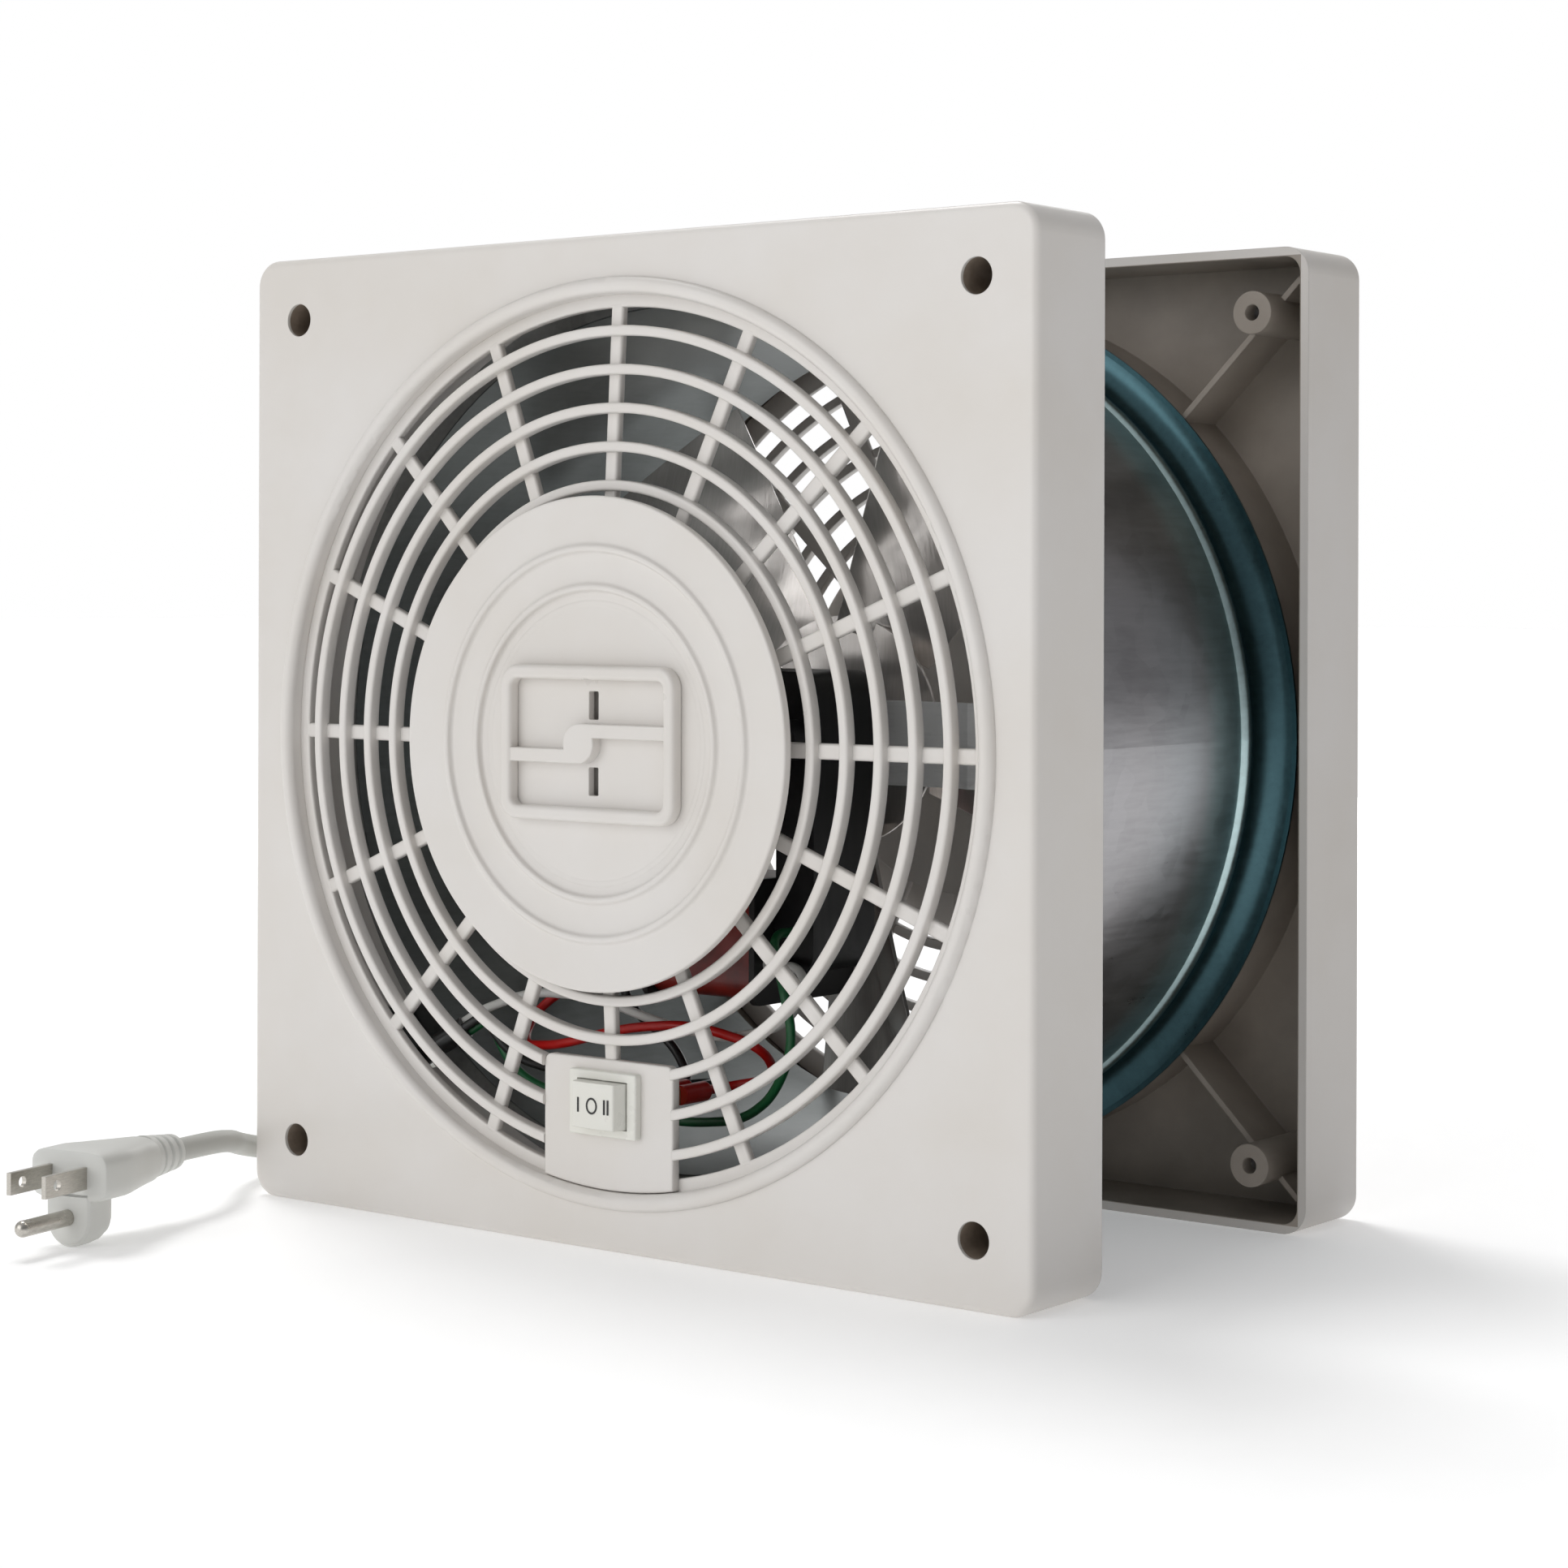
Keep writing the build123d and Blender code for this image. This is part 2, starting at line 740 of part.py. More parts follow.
wire_routes = {
    "line_wire": core_wire(0)
    + [
        inside(-60, 25, 48),
        inside(-42, 36, 42),
        inside(-20, 48, 40),
        inside(0, 52, 42.75),
        inside(0, terminal_depth, 42.75),
    ],
    "red_wire": [
        inside(7, terminal_depth, 42.75),
        inside(7, 48, 42.75),
        inside(22, 51, 46),
        inside(27, 38, 57),
        inside(8, 29, 63),
        inside(-18, 29, 60),
        inside(-46, 30, 52),
        inside(-66, 36, 50),
        inside(-70, 48, 60),
        inside(-56, 56, 70),
        inside(-40, 56, 72),
        inside(-end_plate, 56, 72),
    ],
    "black_wire": [
        inside(-7, terminal_depth, 42.75),
        inside(-7, 46, 42.75),
        inside(-18, 52, 52),
        inside(-34, 48, 64),
        inside(-36, 46, 80),
        inside(-end_plate, 46, 80),
    ],
    "white_wire": core_wire(240)
    + [
        inside(-60, 34, 67),
        inside(-40, 42, 66),
        inside(-14, 38, 61),
        inside(14, 38, 58),
        inside(34, 42, 64),
        inside(38, 46, 80),
        inside(end_plate, 46, 80),
    ],
    "green_wire": core_wire(120)
    + [
        inside(-60, 28, 41),
        inside(-42, 40, 34),
        inside(-12, 46, 30),
        inside(16, 42, 34),
        inside(34, 34, 44),
        inside(43, 32, 60),
        inside(38, 32, 78),
        inside(30, 38, 90),
        inside(30, motor_front, 90),
    ],
}
for name, points in wire_routes.items():
    with BuildPart() as internal_wire:
        add(wire(points, wire_radius))
    finish(internal_wire, name)

with BuildPart() as inner_lead:
    add(wire(jacket_points, cord_radius))
finish(inner_lead, "inner_supply_lead")

# ---- strain relief and free supply cord ----
relief_length = 26.0
relief_near = 6.8
relief_far = 4.6
relief_tip = gland_seat + gland_way * relief_length
with BuildPart() as strain_relief:
    add(tapered_bar(gland_seat - gland_way * 7, gland_way, relief_near, relief_far, relief_length + 7))
    split(bisect_by=Plane(origin=(gland_x, 0, 0), z_dir=(-1, 0, 0)))
    with BuildSketch(Plane(origin=(gland_x, gland_y, gland_z), z_dir=(-1, 0, 0))):
        Circle(10.0)
    extrude(amount=2.0)
    throat_plane = Plane(origin=tuple(lead_start), z_dir=gland_way)
    with BuildSketch(throat_plane):
        Circle(gland_throat - 0.3)
    extrude(amount=10)
finish(strain_relief, "cord_strain_relief")

floor_run = cord_radius + 0.1
plug_way = Vector(sin(radians(plug_turn)), -cos(radians(plug_turn)), 0)
plug_tail = Vector(-134.0, -133.5, plug_axis_z)
plug_origin = plug_tail + plug_way * (plug_length + plug_relief)
near_points = (
    tuple(relief_tip),
    tuple(relief_tip + gland_way * 17),
    (-198.0, -19.0, 19.0),
    (-222.0, 1.0, 10.0),
    (-244.0, 22.0, 5.0),
    (-259.0, 46.0, floor_run),
)
far_points = (
    (-160.5, 55.0, 10.0),
    (-161.0, 36.0, 8.0),
    (-165.0, 12.0, 4.0),
    (-171.0, -11.0, floor_run),
    (-172.5, -34.0, floor_run),
    (-169.5, -58.0, 7.5),
    (-161.0, -81.0, 13.0),
    (-146.5, -98.5, 18.0),
    tuple(plug_tail - plug_way * 18),
    tuple(plug_tail),
)
with BuildPart() as cord_near:
    add(wire(near_points, cord_radius))
finish(cord_near, "supply_cord_near")
with BuildPart() as cord_far:
    add(wire(far_points, cord_radius))
finish(cord_far, "supply_cord_far")
print("near cord radii", [round(value) for value in bend_radii(near_points)])
print("far cord radii", [round(value) for value in bend_radii(far_points)])
print("inner lead radii", [round(value) for value in bend_radii(jacket_points)])
for name, points in wire_routes.items():
    print(name, "radii", [round(value, 1) for value in bend_radii(points)])

with BuildPart() as cord_coil:
    with BuildSketch(Plane((coil_x, coil_y, 0))):
        Circle(coil_turn_radius + coil_width / 2)
        Circle(coil_turn_radius - coil_width / 2, mode=Mode.SUBTRACT)
    extrude(amount=coil_height)
    fillet(cord_coil.edges().group_by(Axis.Z)[-1], 3.0)
finish(cord_coil, "cord_coil")

with BuildPart() as cord_tie:
    tie_sheet = 1.2
    with BuildSketch(Plane.XZ.offset(-(coil_y - 5))) as tie_outline:
        with Locations((coil_x + coil_turn_radius, coil_height / 2 + 0.6)):
            RectangleRounded(coil_width + 2 * tie_sheet, coil_height + 1.1, 3.5)
        with Locations((coil_x + coil_turn_radius, coil_height / 2)):
            Rectangle(coil_width, coil_height, mode=Mode.SUBTRACT)
    extrude(amount=-10)
finish(cord_tie, "cord_tie")

# ---- plug ----
plug_across = Vector(cos(radians(plug_turn)), sin(radians(plug_turn)), 0)
plug_plane = Plane(origin=(plug_origin.X, plug_origin.Y, 0), x_dir=plug_across, z_dir=plug_way)
plug_side = Plane(origin=plug_plane.origin, x_dir=-plug_way, z_dir=plug_across)
lobe_half = 8.0
lobe_length = 13.0
shoulder = 13.5
with BuildPart() as plug_body:
    with BuildSketch(plug_plane):
        with BuildLine():
            Polyline(
                (-lobe_half, lobe_half),
                (-lobe_half, shoulder - 3),
                (-plug_width / 2, shoulder),
                (-plug_width / 2, plug_height),
                (plug_width / 2, plug_height),
                (plug_width / 2, shoulder),
                (lobe_half, shoulder - 3),
                (lobe_half, lobe_half),
            )
            ThreePointArc((lobe_half, lobe_half), (0, 0), (-lobe_half, lobe_half))
        make_face()
    extrude(amount=-lobe_length)
    with BuildSketch(plug_side):
        with BuildLine():
            ThreePointArc((5, -0.1), (10.5, 4.9), (lobe_length + 0.1, shoulder - 1))
            Line((lobe_length + 0.1, shoulder - 1), (lobe_length + 0.1, -0.1))
            Line((lobe_length + 0.1, -0.1), (5, -0.1))
        make_face()
    extrude(amount=lobe_half + 1, both=True, mode=Mode.SUBTRACT)
    with BuildSketch(plug_plane.offset(-lobe_length)):
        with Locations((0, (plug_height + shoulder) / 2)):
            RectangleRounded(plug_width, plug_height - shoulder, 2.0)
    with BuildSketch(plug_plane.offset(-plug_length)):
        with Locations((0, plug_axis_z)):
            RectangleRounded(17.0, 14.4, 4.0)
    loft()
finish(plug_body, "plug_body")

with BuildPart() as plug_relief_piece:
    add(tapered_bar(plug_tail + plug_way * plug_relief, -plug_way, 6.9, 5.4, plug_relief))
finish(plug_relief_piece, "plug_strain_relief")

blade_spacing = 12.7
blade_height = 6.35
blade_length = 17.9
pin_drop = 11.9
blade_z = plug_height - 7.5
with BuildPart() as plug_blades:
    with BuildSketch(plug_plane):
        with Locations((-blade_spacing / 2, blade_z), (blade_spacing / 2, blade_z)):
            Rectangle(1.5, blade_height)
    extrude(amount=blade_length)
    with BuildSketch(plug_side.offset(-blade_spacing)):
        with Locations((5.0 - blade_length, blade_z)):
            Circle(1.6)
    extrude(amount=2 * blade_spacing, mode=Mode.SUBTRACT)
finish(plug_blades, "plug_blades")

with BuildPart() as plug_pin:
    with BuildSketch(plug_plane):
        with Locations((0, blade_z - pin_drop)):
            Circle(2.4)
    extrude(amount=21.4)
    fillet(plug_pin.edges().group_by(Axis.Y)[0], 2.2)
finish(plug_pin, "plug_ground_pin")

# ---- fasteners of the strap ----
with BuildPart() as strap_screws:
    screw_depth = strap_depth + tab_length / 2 + 1
    for side in (-1, 1):
        seat = side * (side_reach - strap_sheet)
        spot = (seat, front_y + screw_depth, axis_z - strap_drop)
        base = Plane(origin=spot, x_dir=(0, 1, 0), z_dir=(-side, 0, 0))
        with BuildSketch(base):
            with Locations((0, 7), (0, -7)):
                Circle(3.0)
        extrude(amount=1.6)
finish(strap_screws, "strap_screws")
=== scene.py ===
from math import asin, cos, pi, radians, sin

import bmesh
import bpy
from mathutils import Matrix, Vector


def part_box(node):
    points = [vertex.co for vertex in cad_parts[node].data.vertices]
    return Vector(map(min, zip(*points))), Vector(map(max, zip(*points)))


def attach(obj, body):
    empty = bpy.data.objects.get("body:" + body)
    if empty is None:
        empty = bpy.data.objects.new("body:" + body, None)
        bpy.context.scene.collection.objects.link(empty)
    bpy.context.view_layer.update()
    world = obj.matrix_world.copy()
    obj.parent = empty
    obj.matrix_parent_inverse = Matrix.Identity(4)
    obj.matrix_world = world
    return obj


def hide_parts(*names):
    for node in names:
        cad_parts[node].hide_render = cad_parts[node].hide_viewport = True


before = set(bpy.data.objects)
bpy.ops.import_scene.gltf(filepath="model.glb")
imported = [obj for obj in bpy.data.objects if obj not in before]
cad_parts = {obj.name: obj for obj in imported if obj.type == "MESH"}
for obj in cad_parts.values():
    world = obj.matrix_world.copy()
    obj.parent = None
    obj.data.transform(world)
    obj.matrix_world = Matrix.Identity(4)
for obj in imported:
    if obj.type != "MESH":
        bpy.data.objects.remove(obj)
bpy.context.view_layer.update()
scene = bpy.context.scene
scene.view_settings.view_transform = "Standard"

# Lengths are metres. A depth is measured from the room-side face towards the far side.
panel_low, panel_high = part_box("front_panel")
AXIS_Z = (panel_low.z + panel_high.z) / 2
WALL_GAP = 0.112
PANEL_DEPTH = 0.033
FRONT_Y = -(WALL_GAP / 2 + PANEL_DEPTH)
NEAR = 1
FAR = -1

# ---- camera ----
CAMERA_SPOT = (0.6204, -0.8098, 0.1909)
CAMERA_HEADING = radians(37.7)
CAMERA_ROLL = radians(0.19)


def add_camera():
    """The photograph's view: level, from the right of the room-side face."""
    data = bpy.data.cameras.new("camera")
    data.lens = 76.09
    data.sensor_width = 36.0
    data.shift_y = -0.1258
    data.clip_start = 0.05
    data.clip_end = 40.0
    camera = bpy.data.objects.new("camera", data)
    scene.collection.objects.link(camera)
    look = Vector((-sin(CAMERA_HEADING), cos(CAMERA_HEADING), 0))
    aim = look.to_track_quat("-Z", "Y").to_matrix().to_4x4()
    camera.matrix_world = Matrix.Translation(CAMERA_SPOT) @ aim @ Matrix.Rotation(CAMERA_ROLL, 4, "Z")
    scene.camera = camera


add_camera()


# ---- node materials ----
def shader(name, color, rough, metal=0.0, specular=0.5, coat=0.0):
    """A material whose Principled sockets hold the values that are the same all over."""
    made = bpy.data.materials.new(name)
    made.use_nodes = True
    principled = made.node_tree.nodes["Principled BSDF"]
    principled.inputs["Base Color"].default_value = (*color, 1)
    principled.inputs["Roughness"].default_value = rough
    principled.inputs["Metallic"].default_value = metal
    principled.inputs["Specular IOR Level"].default_value = specular
    principled.inputs["Coat Weight"].default_value = coat
    principled.inputs["Coat Roughness"].default_value = 0.15
    return made


def feed(owner, socket, value):
    """Links an input to another socket, or gives it a plain value."""
    if isinstance(value, bpy.types.NodeSocket):
        owner.node_tree.links.new(value, socket)
    else:
        socket.default_value = value


def node(owner, kind, **inputs):
    """Adds a node to a material or the world and feeds its inputs by their names."""
    made = owner.node_tree.nodes.new(kind)
    for key, value in inputs.items():
        feed(owner, made.inputs[key.replace("_", " ")], value)
    return made


def place(material, stretch=(1, 1, 1)):
    """Object coordinates, stretched."""
    source = node(material, "ShaderNodeTexCoord")
    mapping = node(material, "ShaderNodeMapping", Vector=source.outputs["Object"], Scale=stretch)
    return mapping.outputs["Vector"]


def noise(material, vector, scale, detail=3.0, roughness=0.55):
    inputs = {"Vector": vector, "Scale": scale, "Detail": detail, "Roughness": roughness}
    return node(material, "ShaderNodeTexNoise", **inputs).outputs["Fac"]


def ramp(material, value, stops, interpolation="LINEAR"):
    """A colour ramp through (position, colour) stops."""
    made = node(material, "ShaderNodeValToRGB", Fac=value)
    made.color_ramp.interpolation = interpolation
    elements = made.color_ramp.elements
    while len(elements) > 1:
        elements.remove(elements[-1])
    for index, (position, color) in enumerate(stops):
        element = elements[0] if index == 0 else elements.new(position)
        element.position = position
        element.color = (*color, 1)
    return made.outputs["Color"]


def remap(material, value, low, high):
    """A value from 0 to 1, moved to the range from low to high."""
    return node(material, "ShaderNodeMapRange", Value=value, To_Min=low, To_Max=high).outputs["Result"]


def math_node(material, operation, first, second=0.0):
    made = node(material, "ShaderNodeMath")
    made.operation = operation
    for socket, value in zip(made.inputs, (first, second)):
        feed(material, socket, value)
    return made.outputs[0]


def principled_socket(material, name, value):
    principled = material.node_tree.nodes["Principled BSDF"]
    material.node_tree.links.new(value, principled.inputs[name])


def color_by(material, value, stops):
    principled_socket(material, "Base Color", ramp(material, value, stops))


def rough_by(material, value, low, high):
    principled_socket(material, "Roughness", remap(material, value, low, high))


def bump(material, heights, edge=0.0):
    """Bump from (height, strength, distance) triples, over edges softened by a bevel of that radius."""
    normal = None
    if edge:
        rounded = node(material, "ShaderNodeBevel", Radius=edge)
        rounded.samples = 4
        normal = rounded.outputs["Normal"]
    for height, strength, distance in heights:
        made = node(material, "ShaderNodeBump", Height=height, Strength=strength, Distance=distance)
        if normal is not None:
            material.node_tree.links.new(normal, made.inputs["Normal"])
        normal = made.outputs["Normal"]
    principled_socket(material, "Normal", normal)


def scaled(color, factor):
    return tuple(min(channel * factor, 1.0) for channel in color)


WARM_SHIFT = (1.0, 0.985, 0.96)
DUST_SHARE = 0.07
DUST_GREY = 0.5


def moulded(name, color, rough, grain=2600.0, grain_strength=0.12, edge=0.0005):
    """Moulded plastic: fine surface texture, faint flow mottling and uneven sheen."""
    made = shader(name, color, rough)
    spot = place(made)
    warm = tuple(channel * shift for channel, shift in zip(scaled(color, 0.955), WARM_SHIFT))
    color_by(made, noise(made, spot, 16.0, 4.0), [(0.3, warm), (0.62, color), (0.9, scaled(color, 1.015))])
    rough_by(made, noise(made, spot, 45.0, 5.0), rough - 0.07, rough + 0.09)
    fine = noise(made, spot, grain, 2.0)
    waves = noise(made, spot, 22.0, 2.0)
    bump(made, [(waves, 0.05, 0.002), (fine, grain_strength, 0.0001)], edge)
    return made


def galvanised(name, color, rough, along=(9, 1, 9), spangle=0.16, edge=0.0, metal=1.0):
    """Zinc-coated sheet: crystal spangle, rolling streaks and an uneven, cloudy reflection."""
    made = shader(name, color, rough, metal=metal)
    spot = place(made)
    cells = node(made, "ShaderNodeTexVoronoi", Vector=spot, Scale=130.0)
    grey = node(made, "ShaderNodeRGBToBW", Color=cells.outputs["Color"]).outputs["Val"]
    streaks = noise(made, place(made, along), 60.0, 5.0, 0.6)
    cloud = noise(made, spot, 14.0, 4.0)
    blend = math_node(made, "MULTIPLY", grey, spangle)
    for pattern in (streaks, cloud):
        blend = math_node(made, "ADD", blend, math_node(made, "MULTIPLY", pattern, 0.45))
    color_by(made, blend, [(0.25, scaled(color, 0.72)), (0.55, color), (0.85, scaled(color, 1.22))])
    rough_by(made, blend, rough - 0.08, rough + 0.16)
    bump(made, [(cloud, 0.05, 0.003), (streaks, 0.06, 0.0004), (grey, 0.02, 0.0004)], edge)
    return made


def brushed(name, color, rough, stretch, edge=0.0003, metal=1.0):
    """Bare metal with fine rolling or turning marks along one direction."""
    made = shader(name, color, rough, metal=metal)
    marks = noise(made, place(made, stretch), 220.0, 6.0, 0.65)
    cloud = noise(made, place(made), 60.0, 3.0)
    color_by(made, marks, [(0.3, scaled(color, 0.8)), (0.7, scaled(color, 1.08))])
    rough_by(made, cloud, rough - 0.06, rough + 0.12)
    bump(made, [(marks, 0.12, 0.0002), (cloud, 0.05, 0.0006)], edge)
    return made


def stamped(name, color, rough):
    """Thin bright sheet whose surface waves from stamping, with fine rolling lines."""
    made = shader(name, color, rough, metal=0.7)
    waves = noise(made, place(made), 26.0, 1.0)
    rolling = noise(made, place(made, (14, 1, 1)), 120.0, 4.0)
    color_by(made, rolling, [(0.3, scaled(color, 0.86)), (0.7, color)])
    rough_by(made, waves, rough - 0.05, rough + 0.1)
    bump(made, [(waves, 0.85, 0.006), (rolling, 0.08, 0.0003)], 0.0004)
    return made


def laminated(name, color, bands):
    """Black varnished steel sheets stacked along Y. bands is the wave texture's scale."""
    made = shader(name, color, 0.45, metal=0.2)
    sheets = node(made, "ShaderNodeTexWave", Vector=place(made), Scale=bands, Distortion=0.4)
    sheets.bands_direction = "Y"
    drips = noise(made, place(made), 130.0, 4.0)
    color_by(made, drips, [(0.35, scaled(color, 0.6)), (0.75, scaled(color, 1.8))])
    rough_by(made, drips, 0.3, 0.6)
    bump(made, [(sheets.outputs["Fac"], 0.5, 0.0003), (drips, 0.15, 0.0005)], 0.0003)
    return made


def taped(name, color):
    """A winding under wrapped tape: overlapping turns across X."""
    made = shader(name, color, 0.32, coat=0.3)
    turns = node(made, "ShaderNodeTexWave", Vector=place(made), Scale=28.0, Distortion=0.6)
    turns.bands_direction = "X"
    turns.wave_profile = "SAW"
    patch = noise(made, place(made), 90.0, 4.0)
    color_by(made, patch, [(0.3, scaled(color, 0.55)), (0.7, scaled(color, 1.35))])
    bump(made, [(turns.outputs["Fac"], 0.3, 0.0004), (patch, 0.12, 0.0004)], 0.0006)
    return made


def insulated(name, color, rough=0.3):
    """Extruded PVC insulation: glossy, with faint drawn ripples and handling dust."""
    made = shader(name, color, rough, coat=0.15)
    spot = place(made)
    dust = noise(made, spot, 180.0, 4.0)
    dusty = tuple((1 - DUST_SHARE) * channel + DUST_SHARE * DUST_GREY for channel in color)
    color_by(made, dust, [(0.45, color), (0.85, dusty)])
    rough_by(made, dust, rough - 0.05, rough + 0.15)
    bump(made, [(noise(made, spot, 900.0, 2.0), 0.08, 0.0001)])
    return made


def woven(name, color, bands):
    """Narrow woven strap. bands is the scale of both wave textures."""
    made = shader(name, color, 0.8)
    threads = []
    for direction in ("Y", "DIAGONAL"):
        wave = node(made, "ShaderNodeTexWave", Vector=place(made), Scale=bands)
        wave.bands_direction = direction
        threads.append(wave.outputs["Fac"])
    weave = math_node(made, "MULTIPLY", *threads)
    color_by(made, weave, [(0.1, scaled(color, 0.5)), (0.8, scaled(color, 1.6))])
    bump(made, [(weave, 0.5, 0.0003)], 0.0004)
    return made


# ---- painted shade and highlight, and a blue-green lip band, laid over a material where the part's own coordinates say ----
# How far before the outer sleeve's lip its blue-green band, with its painted highlight, begins.
LIP_BAND_REACH = 0.075
CORNER_HOLE = 0.127
BORE_REACH = 0.0051
BORE_DEPTHS = (0.0615, 0.0880)
# Brownish colour multiplied into the corner holes' walls: painted shade.
BORE_SHADE = (0.46, 0.39, 0.33)
DUCT_REACH = 0.1269
# Colour multiplied into the inner sleeve's inner face: painted shade.
DUCT_SHADE = (0.46, 0.485, 0.475)
PANEL_SKIN = 0.0026
# Colour multiplied into the far panel's inner faces: painted shade.
PANEL_SHADE = (0.50, 0.46, 0.42)


def multiply(material, tint, mask=1.0):
    """Multiplies a material's colour by another one, where the mask is 1."""
    principled = material.node_tree.nodes["Principled BSDF"]
    plain = principled.inputs["Base Color"].links[0].from_socket
    mix = node(material, "ShaderNodeMix")
    mix.data_type = "RGBA"
    mix.blend_type = "MULTIPLY"
    for key, value in (("A", plain), ("B", tint), ("Factor", mask)):
        feed(material, mix.inputs[key], value)
    principled_socket(material, "Base Color", mix.outputs["Result"])


def own_place(material):
    """The object's own coordinates: the vector, then its X, Y and Z."""
    spot = node(material, "ShaderNodeTexCoord").outputs["Object"]
    return spot, node(material, "ShaderNodeSeparateXYZ", Vector=spot).outputs


def off_axis(material, axes):
    """Height above the fan's axis."""
    return math_node(material, "SUBTRACT", axes["Z"], AXIS_Z)


def within(material, offsets, radius):
    """A mask: 1 inside a circle, from the two offsets from its middle."""
    squares = [math_node(material, "MULTIPLY", offset, offset) for offset in offsets]
    return math_node(material, "LESS_THAN", math_node(material, "ADD", *squares), radius**2)


def sleeve_sheet():
    """The outer sleeve's sheet: neutral zinc, blue-green towards the flared lip, with a pale band painted in
    as a highlight at the bead and dark blue-green over the flare.
    """
    made = galvanised("galvanised_outer", (0.62, 0.63, 0.64), 0.27)
    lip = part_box("outer_sleeve")[1].y
    depth = own_place(made)[1]["Y"]
    share = node(made, "ShaderNodeMapRange", Value=depth, From_Min=lip - LIP_BAND_REACH, From_Max=lip)
    stops = [
        (0.0, (0.62, 0.60, 0.61)),
        (0.50, (0.60, 0.62, 0.64)),
        # The pale and near-white stops at the bead are a painted highlight.
        (0.66, (0.66, 0.86, 0.88)),
        (0.79, (0.78, 1.0, 1.0)),
        (0.86, (0.13, 0.25, 0.28)),
        (1.0, (0.10, 0.20, 0.23)),
    ]
    multiply(made, ramp(made, share.outputs["Result"], stops, "EASE"))
    return made


def shade_bores(material):
    """Painted shade on the walls of the corner holes, between two distances from the middle plane."""
    spot, axes = own_place(material)
    gaps = [
        math_node(material, "SUBTRACT", math_node(material, "ABSOLUTE", offset), CORNER_HOLE)
        for offset in (axes["X"], off_axis(material, axes))
    ]
    mask = within(material, gaps, BORE_REACH)
    depth = math_node(material, "ABSOLUTE", axes["Y"])
    for operation, limit in zip(("GREATER_THAN", "LESS_THAN"), BORE_DEPTHS):
        mask = math_node(material, "MULTIPLY", mask, math_node(material, operation, depth, limit))
    stops = [(0.3, scaled(BORE_SHADE, 0.7)), (0.7, BORE_SHADE)]
    multiply(material, ramp(material, noise(material, spot, 300.0), stops), mask)


def shade_duct(material):
    """Painted shade on the inner sleeve's inner face, none on its outer face."""
    spot, axes = own_place(material)
    mask = within(material, (axes["X"], off_axis(material, axes)), DUCT_REACH)
    stops = [(0.25, scaled(DUCT_SHADE, 0.85)), (0.75, scaled(DUCT_SHADE, 1.2))]
    multiply(material, ramp(material, noise(material, spot, 24.0, 5.0), stops), mask)


def shade_inside(material, low, high):
    """Painted shade: darker, brownish, mottled colour on the far panel's inner faces, none on the faces
    outside.
    """
    spot, axes = own_place(material)
    offsets = [math_node(material, "ABSOLUTE", offset) for offset in (axes["X"], off_axis(material, axes))]
    reach = math_node(material, "MAXIMUM", *offsets)
    inside = math_node(material, "LESS_THAN", reach, (high.x - low.x) / 2 - PANEL_SKIN)
    behind = math_node(material, "LESS_THAN", axes["Y"], high.y - PANEL_SKIN)
    stops = [(0.25, scaled(PANEL_SHADE, 0.8)), (0.75, scaled(PANEL_SHADE, 1.25))]
    mask = math_node(material, "MULTIPLY", inside, behind)
    multiply(material, ramp(material, noise(material, spot, 30.0, 5.0), stops), mask)


# ---- the materials ----
ABS = moulded("abs_white", (0.74, 0.715, 0.688), 0.30, 2200.0, 0.14)
# The far unit's plastic is the near unit's, painted darker as shade.
ABS_FAR = moulded("abs_far", (0.66, 0.635, 0.61), 0.32, 2200.0, 0.2)
ABS_HOLLOW = moulded("abs_hollow", (0.66, 0.635, 0.61), 0.45, 2200.0, 0.2)
# The far panel's inner faces are darkened with painted shade.
shade_inside(ABS_HOLLOW, *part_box("rear_panel"))
# The corner holes' walls in both panels are darkened with painted shade.
shade_bores(ABS)
shade_bores(ABS_HOLLOW)
SWITCH = moulded("switch_white", (0.80, 0.80, 0.75), 0.28, 1200.0, 0.02, 0.0003)
CORD = moulded("cord_white", (0.50, 0.505, 0.48), 0.48, 1500.0, 0.1, 0.0004)
PLUG = moulded("plug_white", (0.66, 0.665, 0.64), 0.4, 1800.0, 0.1, 0.0005)
ZINC = galvanised("galvanised", (0.37, 0.385, 0.39), 0.31)
# The inner sleeve's inner face is darkened with painted shade.
shade_duct(ZINC)
ZINC_OUTER = sleeve_sheet()
STRAP = galvanised("strap_steel", (0.93, 0.94, 0.94), 0.34, (1, 1, 14), 0.2, 0.0004, 0.3)
# The blades' warm tint is a painted reflection of the brownish housing round them.
BLADE = stamped("blade_aluminium", (0.96, 0.915, 0.88), 0.15)
HUB = brushed("hub_steel", (0.55, 0.55, 0.55), 0.34, (1, 30, 1))
SHAFT = brushed("shaft_steel", (0.62, 0.62, 0.62), 0.2, (1, 30, 1), 0.0002)
SCREW = brushed("screw_steel", (0.60, 0.60, 0.58), 0.26, (4, 4, 4), 0.0003)
NICKEL = brushed("blade_nickel", (0.56, 0.535, 0.49), 0.26, (12, 1, 12), 0.0002)
BRONZE = brushed("bronze", (0.45, 0.30, 0.14), 0.4, (3, 3, 3), 0.0002)
TAB = brushed("brass_tab", (0.62, 0.50, 0.26), 0.32, (1, 20, 1), 0.0001)
LAMINATIONS = laminated("motor_black", (0.012, 0.012, 0.013), 713.92)
CASTING = brushed("cast_black", (0.03, 0.03, 0.032), 0.5, (3, 3, 3), 0.0006, 0.3)
TAPE = taped("coil_tape", (0.26, 0.016, 0.010))
BOBBIN = moulded("bobbin_black", (0.02, 0.02, 0.02), 0.45)
WIRE_BLACK = insulated("wire_black", (0.012, 0.012, 0.012))
WIRE_RED = insulated("wire_red", (0.60, 0.008, 0.006))
